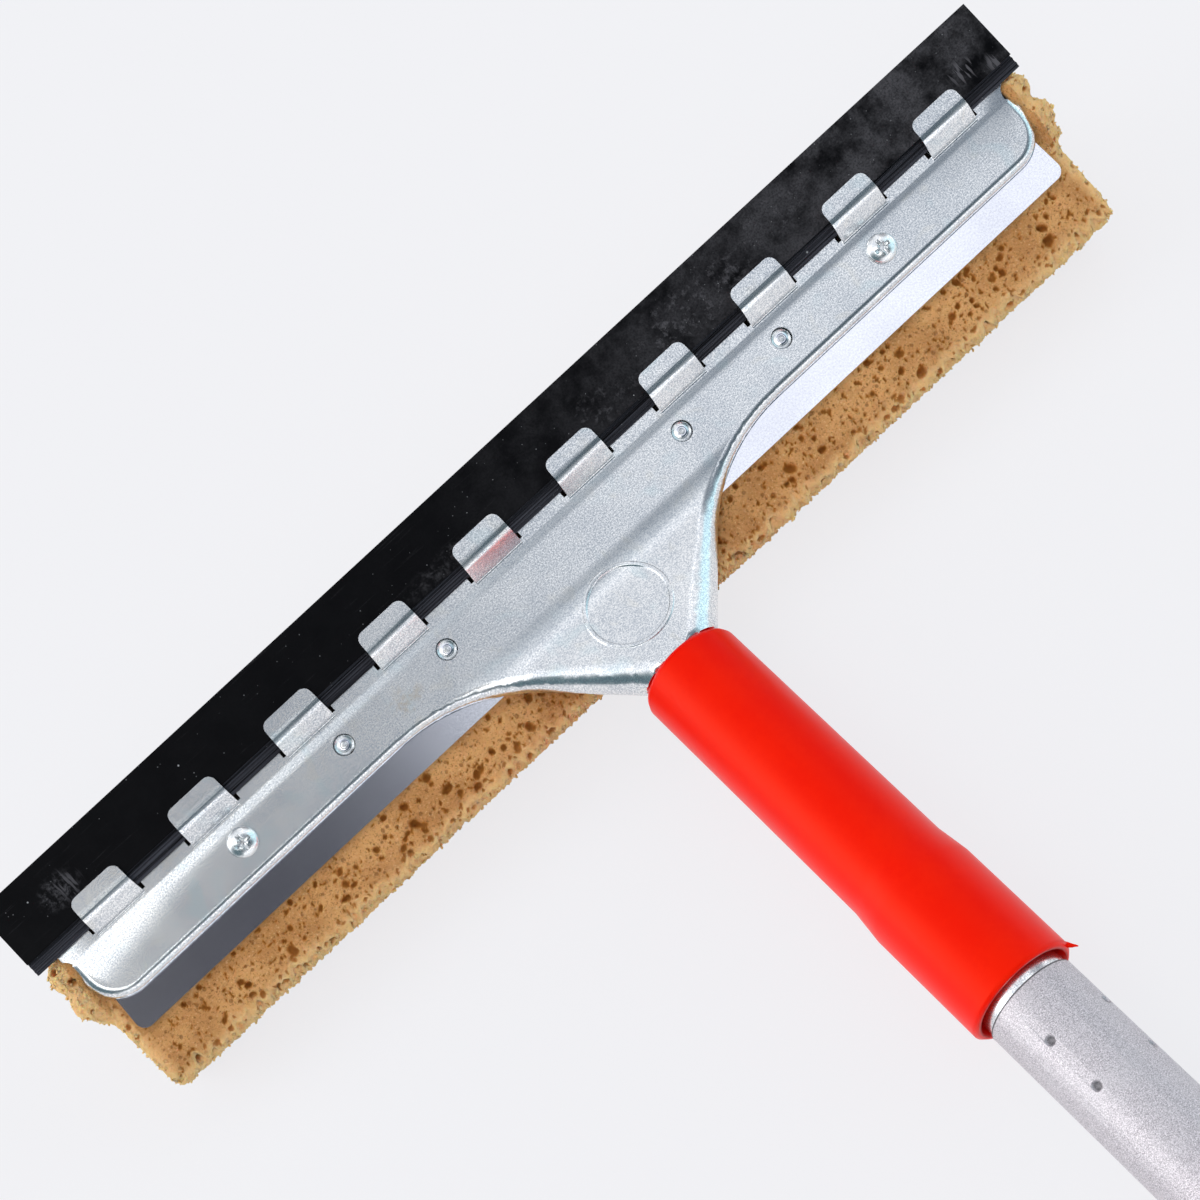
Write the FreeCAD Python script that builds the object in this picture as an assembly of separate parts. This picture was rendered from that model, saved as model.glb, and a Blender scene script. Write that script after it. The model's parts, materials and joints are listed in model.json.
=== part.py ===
"""Window scrubber: a pressed sheet-metal head with a rubber blade and a sponge, on a telescopic pole.

The head is modelled flat in its own frame: X along the blade, Y towards the pole, Z up out of the
sheet's top face, with the middle of the tab row at X = 0, Y = 0. Everything turned about the pole's
axis is modelled along +Y from the front rim of the sleeve, then leaned up by the neck's angle. At the
end the whole tool is laid on a level floor, on the sponge's rear edge and the pole's end cap, with
the origin under the middle of its box. All sizes are millimetres and degrees.
"""
import math
import os

import FreeCAD
import Part

V = FreeCAD.Vector
ORIGIN = V(0, 0, 0)
ACROSS = V(1, 0, 0)
ALONG = V(0, 1, 0)
UP = V(0, 0, 1)
OVERLAP = 1.0                # how far pieces that are joined or cut run past each other
SLACK = 0.01                 # for finding edges by their place

# Sheet-metal head plate
SHEET = 1.2
PLATE_LENGTH = 289.0
PANEL_FRONT = 4.7            # front wall of the raised panel
PANEL_STEP = 1.0             # the panel stands this far above the front strip
PANEL_SLOPE = 1.1            # run of the slope up to the panel
STEP_SHARE = 0.6             # the slope's inner face starts this share of the sheet lower
PLATE_REAR = 19.2
CORNER_RADIUS = 9.5
RIM_RADIUS = 2.6             # turned-down edge round the bar
RIM_DEPTH = 3.2
SIDE_START = 60.0            # the bar is plain outside this
NECK_ANGLE = 30.0
NECK_BEND_START = 17.6       # the bend begins a little inside the bar
NECK_BEND_RADIUS = 18.0
NECK_ARC_START = 58.0
NECK_ARC_RADIUS = 45.0
NECK_ARC_TURN = 45.0
NECK_RIM_RADIUS = 6.0        # the turned-down edge grows to this at the stem
NECK_RIM_DEPTH = 10.5
BLOCK_DEPTH = 14.0

# Tabs above the rubber, jaws below it
TAB_COUNT = 10
TAB_MARGIN = 2.5             # plate past the outermost tabs' pitches, each end
TAB_WIDTH = 13.9
TAB_TAPER = 0.35             # each side, root to tip
TAB_TIP = -5.6
TAB_CORNER = 2.0
TAB_SHOULDER = -0.9
TAB_ROOT = 3.6
TAB_ROOT_BEND = 1.4          # middle of the sheet
TAB_TOP_BEND = 4.2
JAW_TIP = -5.0
JAW_ROOT = 3.0
JAW_SLIT = 0.8
JAW_CORNER = 1.0

# Rubber blade
BLADE_OVERHANG = 5.5         # rubber past each end of the plate
BLADE_TIP = -17.5
BLADE_THICKNESS = 2.6
FLANGE_FRONT = -1.8
FLANGE_REAR = 1.5
FLANGE_THICKNESS = 1.3
RIB_RADIUS = 0.35
RIB_PLACES = (-0.95, 0.45)

# Clamp plate, screws and pips
CLAMP_SHEET = 1.0
CLAMP_INSET = 2.25           # each end, inside the plate's ends
CLAMP_FRONT = 6.2
CLAMP_REAR = 26.3
CLAMP_CORNER = 2.5
CLAMP_FRONT_CORNER = 1.0
CLAMP_END_SLANT = 1.2
SCREW_INSET = 46.7           # from the plate's ends
SCREW_ROW = 10.5
SCREW_RADIUS = 2.0
SCREW_HOLE_GAP = 0.2
HEAD_RADIUS = 3.5
HEAD_HEIGHT = 2.2
HEAD_EDGE = 0.9
RECESS_WIDTH = 0.95
RECESS_SPAN = 4.0
RECESS_DEPTH = 1.3
NUT_FLATS = 7.0
NUT_HEIGHT = 3.2
SCREW_TAIL = 1.0             # thread past the nut
THREAD_GAP = 0.02
PIP_PLACES = (-67.0, -36.0, 36.0, 67.0)
PIP_ROW = 10.0
PIP_HOLE_RADIUS = 2.5
PIP_RADIUS = 2.2
PIP_SUNK = 0.35              # pip top below the plate's face
PIP_WALL = 0.8
PIP_DOME = 0.6               # rounding of the top, as a share of the radius
BURR_WIDTH = 0.5
BURR_HEIGHT = 0.25

# Bare roundel on the neck
ROUNDEL_PLACE = 30.3         # seen from above
ROUNDEL_RADIUS = 10.5
ROUNDEL_RIM = 0.9
ROUNDEL_RAISE = 0.35
ROUNDEL_SINK = 0.2

# Sponge
SPONGE_FRONT = 0.6
SPONGE_REAR = 42.0
SPONGE_DEPTH = 24.0          # below the clamp plate
SPONGE_OVERHANG = 2.7        # sponge past each end of the plate
SPONGE_TAPER = 2.0           # each end, front to rear
SPONGE_ROUND = 3.0
LEAF_REAR = 16.5             # the squeezed part between the plates
LEAF_INSET = 0.6
BULGE_LONG = 8.4             # half length along Y of the puffed ends
BULGE_MIDDLE = 9.6
BULGE_OUT = 6.2
BULGE_TALL = 4.6
POCKET_GAP = 0.3             # round the nuts and the pips

# Stem and sleeve
STEM_RADIUS = 10.5
STEM_WALL = 1.2
STEM_SEAM = 0.8
NECK_PROUD = 0.15            # the neck's face above the stem's top
STEM_LEAD = 5.0              # half-round lead ahead of the full tube
RIM_PLACE = 50.0             # sleeve's front rim, at its axis
SLEEVE_LENGTH = 107.0
SLEEVE_RADIUS = 12.5
SLEEVE_END_RADIUS = 13.4
SLEEVE_END_LENGTH = 30.0
SLEEVE_STEP = 8.0
SLEEVE_LIP = 1.6
LIP_SHARE = 0.3              # the front lip is cut back in two facets, split at this share
SLEEVE_EDGE = 0.8
SLEEVE_END_BORE = 11.8
SLEEVE_END_BORE_DEPTH = 10.0
RING_LENGTH = 2.2            # bare stem between sleeve and pole
SPIGOT_LENGTH = 34.0

# Pole
POLE_RADIUS = 11.0
POLE_WALL = 0.7
POLE_SHOWN = 60.0            # pole between the stem's ring and the lock collar
CRIMP_ROWS = (12.0, 25.0)
CRIMP_COUNT = 4
CRIMP_TURN = 23.0
CRIMP_BALL = 1.4
CRIMP_DEPTH = 0.8
TUBE_RADIUS = 12.5
TUBE_WALL = 0.8
TUBE_LENGTH = 480.0
BUSH_LENGTH = 14.0
BUSH_SPIGOT = 16.0
BUSH_WALL = 2.0
BUSH_EDGE = 1.0
BUSH_STOP_GAP = 4.0          # between the bush and the end cap's plug, pole pushed right in
RUNNING_GAP = 0.06

# Collet on the lower tube and the collar that closes it
COLLET_SEAT = 22.0           # over the lower tube
COLLET_RADIUS = 14.6
FINGER_LENGTH = 15.0
FINGER_RADIUS = 14.0
FINGER_TIP_RADIUS = 12.6
FINGER_COUNT = 6
FINGER_SLOT = 1.6
FINGER_ROOT = 3.0            # plain part behind the fingers' slope
FINGER_BRIDGE = 2.0          # left whole behind each slot
COLLAR_RADIUS = 17.0
COLLAR_LENGTH = 42.0
COLLAR_LIP = 3.0
COLLAR_GAP = 0.25
COLLAR_MOUTH_GAP = 0.6
COLLAR_EDGE = 1.5
FLUTE_COUNT = 16
FLUTE_RADIUS = 2.2
FLUTE_DEPTH = 0.9
FLUTE_START = 4.5
FLUTE_LENGTH = 34.5

# End cap with its hanging eye
CAP_RADIUS = 14.0
CAP_SKIRT = 26.0
CAP_WALL = 6.0
CAP_ROUND = 4.0
CAP_PLUG = 18.0
EYE_THICKNESS = 7.0
EYE_WIDTH = 18.0
EYE_LENGTH = 24.0
EYE_RADIUS = 4.5

# Worked out from the sizes above
ANGLE = math.radians(NECK_ANGLE)
TAB_PITCH = (PLATE_LENGTH - 2 * TAB_MARGIN) / TAB_COUNT
BLADE_LENGTH = PLATE_LENGTH + 2 * BLADE_OVERHANG
CLAMP_LENGTH = PLATE_LENGTH - 2 * CLAMP_INSET
SCREW_PLACE = PLATE_LENGTH / 2 - SCREW_INSET
SPONGE_HALF = PLATE_LENGTH / 2 + SPONGE_OVERHANG
LEAF_HALF = PLATE_LENGTH / 2 - LEAF_INSET
STRIP_TOP = -PANEL_STEP
STRIP_BOTTOM = STRIP_TOP - SHEET
TAB_MIDDLE = STRIP_TOP + BLADE_THICKNESS + SHEET / 2
CLAMP_TOP = -RIM_DEPTH
CLAMP_BOTTOM = CLAMP_TOP - CLAMP_SHEET
SPONGE_BOTTOM = CLAMP_BOTTOM - SPONGE_DEPTH
NECK_MIDDLE = PLATE_REAR + NECK_ARC_RADIUS
SLOPE_START = NECK_BEND_START + NECK_BEND_RADIUS * math.sin(ANGLE)
SLOPE_START_Z = NECK_BEND_RADIUS * (1 - math.cos(ANGLE))
POLE_BORE = POLE_RADIUS - POLE_WALL
TUBE_BORE = TUBE_RADIUS - TUBE_WALL
MOUTH = SLEEVE_LENGTH + RING_LENGTH
COLLAR_START = MOUTH + POLE_SHOWN
TUBE_START = COLLAR_START + COLLAR_LIP + FINGER_LENGTH
TUBE_END = TUBE_START + TUBE_LENGTH
POLE_END = TUBE_END - CAP_PLUG - BUSH_STOP_GAP - BUSH_LENGTH


# Helpers

def neck_height(y, below=0.0):
    """Height of the sloping neck face, or of a face parallel to it."""
    return SLOPE_START_Z + (y - SLOPE_START) * math.tan(ANGLE) - below / math.cos(ANGLE)


STEM_DROP = STEM_RADIUS + NECK_PROUD
RIM_HEIGHT = neck_height(RIM_PLACE, STEM_DROP)


def rounded_wire(points, radii):
    """Closed wire through the corners, each rounded to its own radius (0 stays sharp)."""
    count = len(points)
    starts, ends, mids = [], [], []
    for i, corner in enumerate(points):
        back = points[i - 1] - corner
        on = points[(i + 1) % count] - corner
        back.normalize()
        on.normalize()
        if not radii[i]:
            starts.append(corner)
            ends.append(corner)
            mids.append(None)
            continue
        half = math.acos(max(-1.0, min(1.0, back.dot(on)))) / 2
        reach = radii[i] / math.tan(half)
        inward = back + on
        inward.normalize()
        starts.append(corner + back * reach)
        ends.append(corner + on * reach)
        mids.append(corner + inward * (radii[i] / math.sin(half) - radii[i]))
    edges = []
    for i in range(count):
        if mids[i]:
            edges.append(Part.Arc(starts[i], mids[i], ends[i]).toShape())
        following = starts[(i + 1) % count]
        if ends[i].distanceToPoint(following) > 1e-6:
            edges.append(Part.makeLine(ends[i], following))
    return Part.Wire(edges)


def prism(points, radii, way):
    """Solid from a rounded outline, pushed along a vector."""
    return Part.Face(rounded_wire(points, radii)).extrude(way)


def side_prism(points, x_low, x_high, radii=None):
    """Solid with a (y, z) outline, between two places on X."""
    corners = [V(x_low, y, z) for y, z in points]
    return prism(corners, radii or [0] * len(points), V(x_high - x_low, 0, 0))


def plan_prism(points, z_low, z_high, radii=None):
    """Solid with an (x, y) outline, between two heights."""
    corners = [V(x, y, z_low) for x, y in points]
    return prism(corners, radii or [0] * len(points), V(0, 0, z_high - z_low))


def bent_sheet(middle, bends, thickness, x_low, x_high):
    """Bent strip: an open (y, z) line down the middle of the sheet, with a radius at each bend."""
    count = len(middle)
    left, right, left_radii, right_radii = [], [], [], []
    for i, (y, z) in enumerate(middle):
        bend = bends[i]
        runs = []
        if i > 0:
            runs.append(V(0, y - middle[i - 1][0], z - middle[i - 1][1]))
        if i < count - 1:
            runs.append(V(0, middle[i + 1][0] - y, middle[i + 1][1] - z))
        normals = [V(0, -run.z, run.y).normalize() for run in runs]
        total = normals[0] + normals[-1]
        offset = total * (thickness / 2 / (1 + normals[0].dot(normals[-1])))
        turn = runs[0].cross(runs[-1]).x
        side = 0 if turn == 0 else math.copysign(thickness / 2, turn)
        left.append((y + offset.y, z + offset.z))
        right.append((y - offset.y, z - offset.z))
        left_radii.append(bend - side if side else 0)
        right_radii.append(bend + side if side else 0)
    return side_prism(left + right[::-1], x_low, x_high, left_radii + right_radii[::-1])


def turned(points):
    """Solid turned about the pole's axis from a closed (along, radius) outline."""
    wire = Part.makePolygon([V(0, along, radius) for along, radius in points + points[:1]])
    return Part.Face(wire).revolve(ORIGIN, ALONG, 360)


def rod(radius, start, end):
    return Part.makeCylinder(radius, end - start, V(0, start, 0), ALONG)


def hole(x, y, radius, low, high):
    return Part.makeCylinder(radius, high - low, V(x, y, low), UP)


def fillet_where(shape, radius, chosen):
    return shape.makeFillet(radius, [edge for edge in shape.Edges if chosen(edge)])


def growing_fillet(shape, numbered_edges):
    """Fillet that changes its radius along each edge: (edge number, far radius, near radius)."""
    scratch = FreeCAD.newDocument()
    base = scratch.addObject("Part::Feature", "Base")
    base.Shape = shape
    rounded = scratch.addObject("Part::Fillet", "Rounded")
    rounded.Base = base
    rounded.Edges = numbered_edges
    scratch.recompute()
    result = rounded.Shape.copy()
    FreeCAD.closeDocument(scratch.Name)
    return result


def mirrored(shape):
    return shape.mirror(ORIGIN, ACROSS)


def on_pole(shape):
    """From the pole's own frame to the head's."""
    placed = shape.copy()
    placed.rotate(ORIGIN, ACROSS, NECK_ANGLE)
    placed.translate(V(0, RIM_PLACE, RIM_HEIGHT))
    return placed


def near(a, b):
    return abs(a - b) < 1e-4


# Head plate: outline and folded blocks

def face_profile(inset, length):
    """(y, z) line over the panel and up the neck, for the top face or one parallel below it."""
    centre = NECK_BEND_RADIUS
    outer = NECK_BEND_RADIUS + inset
    middle = V(0, NECK_BEND_START + outer * math.sin(ANGLE / 2), centre - outer * math.cos(ANGLE / 2))
    bend_end = V(0, NECK_BEND_START + outer * math.sin(ANGLE), centre - outer * math.cos(ANGLE))
    front = V(0, PANEL_FRONT + PANEL_SLOPE + inset / 2, -inset)
    bend_start = V(0, NECK_BEND_START, -inset)
    top_end = V(0, length, neck_height(length, inset))
    return front, bend_start, middle, bend_end, top_end


def panel_block(inset, length, x_low, x_high):
    """Thick block under the panel and the neck, before its plan shape is cut."""
    front, bend_start, middle, bend_end, top_end = face_profile(inset, length)
    foot = V(0, PANEL_FRONT + inset, -PANEL_STEP - inset * STEP_SHARE)
    depth = BLOCK_DEPTH + inset
    low_front = V(0, foot.y, -depth)
    low_bend = V(0, bend_start.y, -depth)
    low_end = V(0, top_end.y, top_end.z - depth)
    edges = [
        Part.makeLine(foot, front),
        Part.makeLine(front, bend_start),
        Part.Arc(bend_start, middle, bend_end).toShape(),
        Part.makeLine(bend_end, top_end),
        Part.makeLine(top_end, low_end),
        Part.makeLine(low_end, low_bend),
        Part.makeLine(low_bend, low_front),
        Part.makeLine(low_front, foot),
    ]
    block = Part.Face(Part.Wire(edges)).extrude(V(x_high - x_low, 0, 0))
    block.translate(V(x_low, 0, 0))
    return block


def neck_plan(inset, overrun):
    """Half of the neck seen from above: straight rear edge, hollow arc, then straight to the stem."""
    radius = NECK_ARC_RADIUS + inset
    turn = math.radians(NECK_ARC_TURN)

    def on_arc(angle):
        return V(NECK_ARC_START - radius * math.sin(angle), NECK_MIDDLE - radius * math.cos(angle), 0)

    arc_end = on_arc(turn)
    run = (arc_end.x - STEM_RADIUS + inset * math.sqrt(2)) / math.cos(turn) + overrun
    stem_end = arc_end + V(-math.cos(turn), math.sin(turn), 0) * run
    corners = [V(0, 0, 0), V(SIDE_START, 0, 0), V(SIDE_START, PLATE_REAR - inset, 0)]
    arc_start = on_arc(0)
    edges = [
        Part.makeLine(corners[0], corners[1]),
        Part.makeLine(corners[1], corners[2]),
        Part.makeLine(corners[2], arc_start),
        Part.Arc(arc_start, on_arc(turn / 2), arc_end).toShape(),
        Part.makeLine(arc_end, stem_end),
        Part.makeLine(stem_end, V(0, stem_end.y, 0)),
        Part.makeLine(V(0, stem_end.y, 0), corners[0]),
    ]
    return Part.Face(Part.Wire(edges)), stem_end.y


def neck_block(inset, overrun=0.0):
    """Half of the dished neck as a solid, its rim growing from the bar to the stem."""
    plan, length = neck_plan(inset, overrun)
    low = -2 * BLOCK_DEPTH
    plan.translate(V(0, 0, low))
    column = plan.extrude(V(0, 0, 4 * BLOCK_DEPTH))
    block = panel_block(inset, length + OVERLAP, 0, SIDE_START).common(column)

    def rim(edge):
        middle = edge.valueAt((edge.FirstParameter + edge.LastParameter) / 2)
        first, last = edge.Vertexes[0].Point, edge.Vertexes[-1].Point
        on_top = middle.z > max(-inset, neck_height(middle.y, inset)) - SLACK
        along_side = middle.y > PLATE_REAR - inset - SLACK and middle.x > SLACK
        square_across = near(first.y, last.y) and min(first.x, last.x) < SLACK
        at_stem = near(first.y, last.y) and near(first.y, length)
        return on_top and along_side and not square_across and not at_stem

    def radius(vertex):
        share = (vertex.Point.y - PLATE_REAR + inset) / (length - PLATE_REAR + inset)
        return RIM_RADIUS + (NECK_RIM_RADIUS - RIM_RADIUS) * max(0.0, share) - inset

    edges = [(number, radius(edge.Vertexes[-1]), radius(edge.Vertexes[0]))
             for number, edge in enumerate(block.Edges, 1) if rim(edge)]
    return growing_fillet(block, edges)


def bar_block(inset):
    """One outer half of the bar: raised panel with a rounded rear corner and turned-down edges."""
    end = PLATE_LENGTH / 2 - inset
    rear = PLATE_REAR - inset
    front = face_profile(inset, rear)[0].y
    foot = PANEL_FRONT + inset
    low = -BLOCK_DEPTH - inset
    block = plan_prism([(SIDE_START, 0), (end, 0), (end, rear), (SIDE_START, rear)], low, -inset,
                       [0, 0, CORNER_RADIUS - inset, 0])

    def rim(edge):
        ends = [vertex.Point for vertex in edge.Vertexes]
        on_top = all(near(point.z, -inset) for point in ends)
        at_front = all(near(point.y, 0) for point in ends)
        at_joint = all(near(point.x, SIDE_START) for point in ends)
        return on_top and not at_front and not at_joint

    block = fillet_where(block, RIM_RADIUS - inset, rim)
    step = -PANEL_STEP - inset * STEP_SHARE
    under, over, before = low - OVERLAP, OVERLAP, -OVERLAP
    ahead = side_prism([(before, under), (foot, under), (foot, step), (front, -inset), (front, over),
                        (before, over)], SIDE_START - OVERLAP, end + OVERLAP)
    return block.cut(ahead)


def rim_trim():
    """What is cut away below the turned-down edges."""
    low = -3 * BLOCK_DEPTH
    stem_y = neck_plan(0, 0)[1]
    far_y = stem_y + 2 * STEM_RADIUS
    strip_end = PANEL_FRONT + SHEET + OVERLAP
    outline = [
        (-OVERLAP, low), (-OVERLAP, STRIP_BOTTOM), (strip_end, STRIP_BOTTOM),
        (strip_end, -RIM_DEPTH), (PLATE_REAR, -RIM_DEPTH),
        (stem_y, neck_height(stem_y, NECK_RIM_DEPTH)),
        (far_y, neck_height(far_y, NECK_RIM_DEPTH)), (far_y, low),
    ]
    return side_prism(outline, -PLATE_LENGTH, PLATE_LENGTH)


def tab_places():
    return [TAB_PITCH * (i - (TAB_COUNT - 1) / 2) for i in range(TAB_COUNT)]


def tab(x):
    """One tab: rises from the strip, passes over the rubber's rear edge and lies flat on it."""
    middle = [
        (PANEL_FRONT + SHEET, STRIP_TOP - SHEET / 2), (TAB_ROOT, STRIP_TOP - SHEET / 2),
        (TAB_SHOULDER, TAB_MIDDLE), (TAB_TIP, TAB_MIDDLE),
    ]
    bends = (0, TAB_ROOT_BEND, TAB_TOP_BEND, 0)
    strip = bent_sheet(middle, bends, SHEET, x - TAB_WIDTH, x + TAB_WIDTH)
    root, tip = TAB_WIDTH / 2, TAB_WIDTH / 2 - TAB_TAPER
    rear = PANEL_FRONT + SHEET
    outline = [(x - root, rear), (x - root, TAB_ROOT), (x - tip, TAB_TIP),
               (x + tip, TAB_TIP), (x + root, TAB_ROOT), (x + root, rear)]
    plan = plan_prism(outline, STRIP_BOTTOM - OVERLAP, TAB_MIDDLE + SHEET,
                      [0, 0, TAB_CORNER, TAB_CORNER, 0, 0])
    return strip.common(plan)


def jaws():
    """Front strip, and the jaws that run on from it below the rubber between the tabs."""
    half = PLATE_LENGTH / 2
    low, high = STRIP_BOTTOM, STRIP_TOP
    pieces = [plan_prism([(-half, JAW_ROOT), (half, JAW_ROOT),
                          (half, PANEL_FRONT + SHEET), (-half, PANEL_FRONT + SHEET)], low, high)]
    cuts = [-half - TAB_WIDTH / 2 - JAW_SLIT] + tab_places() + [half + TAB_WIDTH / 2 + JAW_SLIT]
    for left, right in zip(cuts, cuts[1:]):
        start = left + TAB_WIDTH / 2 + JAW_SLIT
        end = right - TAB_WIDTH / 2 - JAW_SLIT
        pieces.append(plan_prism([(start, JAW_TIP), (end, JAW_TIP), (end, JAW_ROOT + OVERLAP),
                                  (start, JAW_ROOT + OVERLAP)], low, high, [JAW_CORNER, JAW_CORNER, 0, 0]))
    return pieces


def stem():
    """Rolled stem with its open seam: half-round lead, full tube, then the spigot in the pole."""
    inner = STEM_RADIUS - STEM_WALL
    spigot_end = MOUTH + SPIGOT_LENGTH
    tube = rod(STEM_RADIUS, 0, MOUTH).cut(rod(inner, -OVERLAP, MOUTH + OVERLAP))
    lead = rod(STEM_RADIUS, -STEM_LEAD, OVERLAP).cut(rod(inner, -STEM_LEAD - OVERLAP, 2 * OVERLAP))
    lead = lead.common(Part.makeBox(4 * STEM_RADIUS, STEM_LEAD + 2 * OVERLAP, STEM_RADIUS,
                                    V(-2 * STEM_RADIUS, -STEM_LEAD - OVERLAP, 0)))
    spigot = rod(POLE_BORE, MOUTH - OVERLAP, spigot_end)
    spigot = spigot.cut(rod(POLE_BORE - STEM_WALL, MOUTH - 2 * OVERLAP, spigot_end + OVERLAP))
    whole = tube.fuse([lead, spigot])
    whole = whole.cut([ball(row, i, POLE_WALL) for row in CRIMP_ROWS for i in range(CRIMP_COUNT)])
    seam = Part.makeBox(STEM_SEAM, spigot_end + 2 * OVERLAP, STEM_RADIUS,
                        V(-STEM_SEAM / 2, -OVERLAP, -STEM_RADIUS - OVERLAP))
    return on_pole(whole.cut(seam))


def ball(row, index, extra=0.0):
    """Ball that presses one crimp into the pole, or the same with the pole's wall added."""
    turn = math.radians(CRIMP_TURN + 360.0 * index / CRIMP_COUNT)
    reach = POLE_RADIUS + CRIMP_BALL - CRIMP_DEPTH
    centre = V(reach * math.sin(turn), MOUTH + row, reach * math.cos(turn))
    return Part.makeSphere(CRIMP_BALL + extra, centre)


def roundel_post(radius):
    """Round post square to the sloping neck, well past both faces of the sheet."""
    reach = 2 * SHEET
    post = Part.makeCylinder(radius, 2 * reach, V(0, 0, -reach), UP)
    post.rotate(ORIGIN, ACROSS, NECK_ANGLE)
    post.translate(V(0, ROUNDEL_PLACE, neck_height(ROUNDEL_PLACE)))
    return post


def roundel():
    """The roundel's raised rim, and what is pressed out of the face inside it."""
    inner = roundel_post(ROUNDEL_RADIUS - ROUNDEL_RIM)
    over, buried, sunk = [panel_block(depth, ROUNDEL_PLACE + 2 * ROUNDEL_RADIUS, -SIDE_START, SIDE_START)
                          for depth in (-ROUNDEL_RAISE, SHEET / 2, ROUNDEL_SINK)]
    rim = roundel_post(ROUNDEL_RADIUS).cut(inner).common(over).cut(buried)
    return rim, inner.cut(sunk)


def head_plate():
    outer_neck, inner_neck = neck_block(0), neck_block(SHEET, SHEET)
    outer_bar, inner_bar = bar_block(0), bar_block(SHEET)
    outer = outer_neck.fuse([mirrored(outer_neck), outer_bar, mirrored(outer_bar)])
    inner = inner_neck.fuse([mirrored(inner_neck), inner_bar, mirrored(inner_bar)])
    past_stem = rod(2 * SLEEVE_RADIUS, 0, MOUTH).cut(rod(STEM_RADIUS, -OVERLAP, MOUTH + OVERLAP))
    dish = outer.cut(inner).cut([rim_trim(), on_pole(past_stem)])
    plate = dish.fuse(jaws() + [tab(x) for x in tab_places()] + [stem()])
    rim, field = roundel()
    burrs = [hole(x, PIP_ROW, PIP_HOLE_RADIUS + BURR_WIDTH, -SHEET / 2, BURR_HEIGHT) for x in PIP_PLACES]
    plate = plate.fuse([rim] + burrs).cut(field)
    holes = [hole(x, PIP_ROW, PIP_HOLE_RADIUS, -2 * SHEET, SHEET) for x in PIP_PLACES]
    holes += [hole(x, SCREW_ROW, SCREW_RADIUS + SCREW_HOLE_GAP, -2 * SHEET, SHEET)
              for x in (-SCREW_PLACE, SCREW_PLACE)]
    return plate.cut(holes).removeSplitter()


# What the head plate carries

def rubber_blade():
    half = BLADE_LENGTH / 2
    base = STRIP_TOP
    top = base + BLADE_THICKNESS
    flange = base + FLANGE_THICKNESS
    body = side_prism([(BLADE_TIP, base), (FLANGE_REAR, base), (FLANGE_REAR, flange),
                       (FLANGE_FRONT, flange), (FLANGE_FRONT, top), (BLADE_TIP, top)], -half, half)
    ribs = [Part.makeCylinder(RIB_RADIUS, BLADE_LENGTH, V(-half, y, flange), ACROSS) for y in RIB_PLACES]
    return body.fuse(ribs).cut([tab(x) for x in tab_places()]).removeSplitter()


def pip(x, inset=0.0):
    """Domed pip pressed up from the clamp plate, or the hollow under it."""
    radius = PIP_RADIUS - inset
    top = -PIP_SUNK - inset
    low = CLAMP_BOTTOM if inset else CLAMP_TOP - CLAMP_SHEET / 2
    post = hole(x, PIP_ROW, radius, low, top)
    return fillet_where(post, radius * PIP_DOME, lambda edge: all(near(v.Point.z, top)
                                                                  for v in edge.Vertexes))


def clamp_plate():
    half = CLAMP_LENGTH / 2
    front = half - CLAMP_END_SLANT
    outline = [(-front, CLAMP_FRONT), (front, CLAMP_FRONT), (half, CLAMP_REAR), (-half, CLAMP_REAR)]
    plate = plan_prism(outline, CLAMP_BOTTOM, CLAMP_TOP,
                       [CLAMP_FRONT_CORNER, CLAMP_FRONT_CORNER, CLAMP_CORNER, CLAMP_CORNER])
    plate = plate.fuse([pip(x) for x in PIP_PLACES])
    hollows = [pip(x, PIP_WALL) for x in PIP_PLACES]
    holes = [hole(x, SCREW_ROW, SCREW_RADIUS + SCREW_HOLE_GAP, CLAMP_BOTTOM - OVERLAP,
                  CLAMP_TOP + OVERLAP)
             for x in (-SCREW_PLACE, SCREW_PLACE)]
    return plate.cut(hollows + holes)


def screw(x):
    """Pan-head screw with a cross recess, its shank down through the nut."""
    tail = CLAMP_BOTTOM - NUT_HEIGHT - SCREW_TAIL
    shank = hole(x, SCREW_ROW, SCREW_RADIUS, tail, HEAD_EDGE / 2)
    shank = shank.makeChamfer(SCREW_RADIUS / 4, [edge for edge in shank.Edges
                                                 if all(near(v.Point.z, tail) for v in edge.Vertexes)])
    rise = HEAD_HEIGHT - HEAD_EDGE
    crown = (HEAD_RADIUS ** 2 + rise ** 2) / (2 * rise)
    head = hole(x, SCREW_ROW, HEAD_RADIUS, 0, HEAD_HEIGHT)
    head = head.common(Part.makeSphere(crown, V(x, SCREW_ROW, HEAD_HEIGHT - crown)))
    floor = HEAD_HEIGHT - RECESS_DEPTH
    arms = []
    for wide, deep in ((RECESS_SPAN, RECESS_WIDTH), (RECESS_WIDTH, RECESS_SPAN)):
        corner = V(x - wide / 2, SCREW_ROW - deep / 2, floor)
        arms.append(Part.makeBox(wide, deep, RECESS_DEPTH, corner))
    core = Part.makeCone(RECESS_WIDTH / 2, RECESS_WIDTH, RECESS_DEPTH, V(x, SCREW_ROW, floor), UP)
    return head.fuse(shank).cut(arms + [core])


def nut(x):
    reach = NUT_FLATS / 2 / math.cos(math.pi / 6)
    top = CLAMP_BOTTOM
    outline = [(x + reach * math.cos(i * math.pi / 3), SCREW_ROW + reach * math.sin(i * math.pi / 3))
               for i in range(6)]
    blank = plan_prism(outline, top - NUT_HEIGHT, top)
    return blank.cut(hole(x, SCREW_ROW, SCREW_RADIUS + THREAD_GAP, top - 2 * NUT_HEIGHT, top + OVERLAP))


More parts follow.
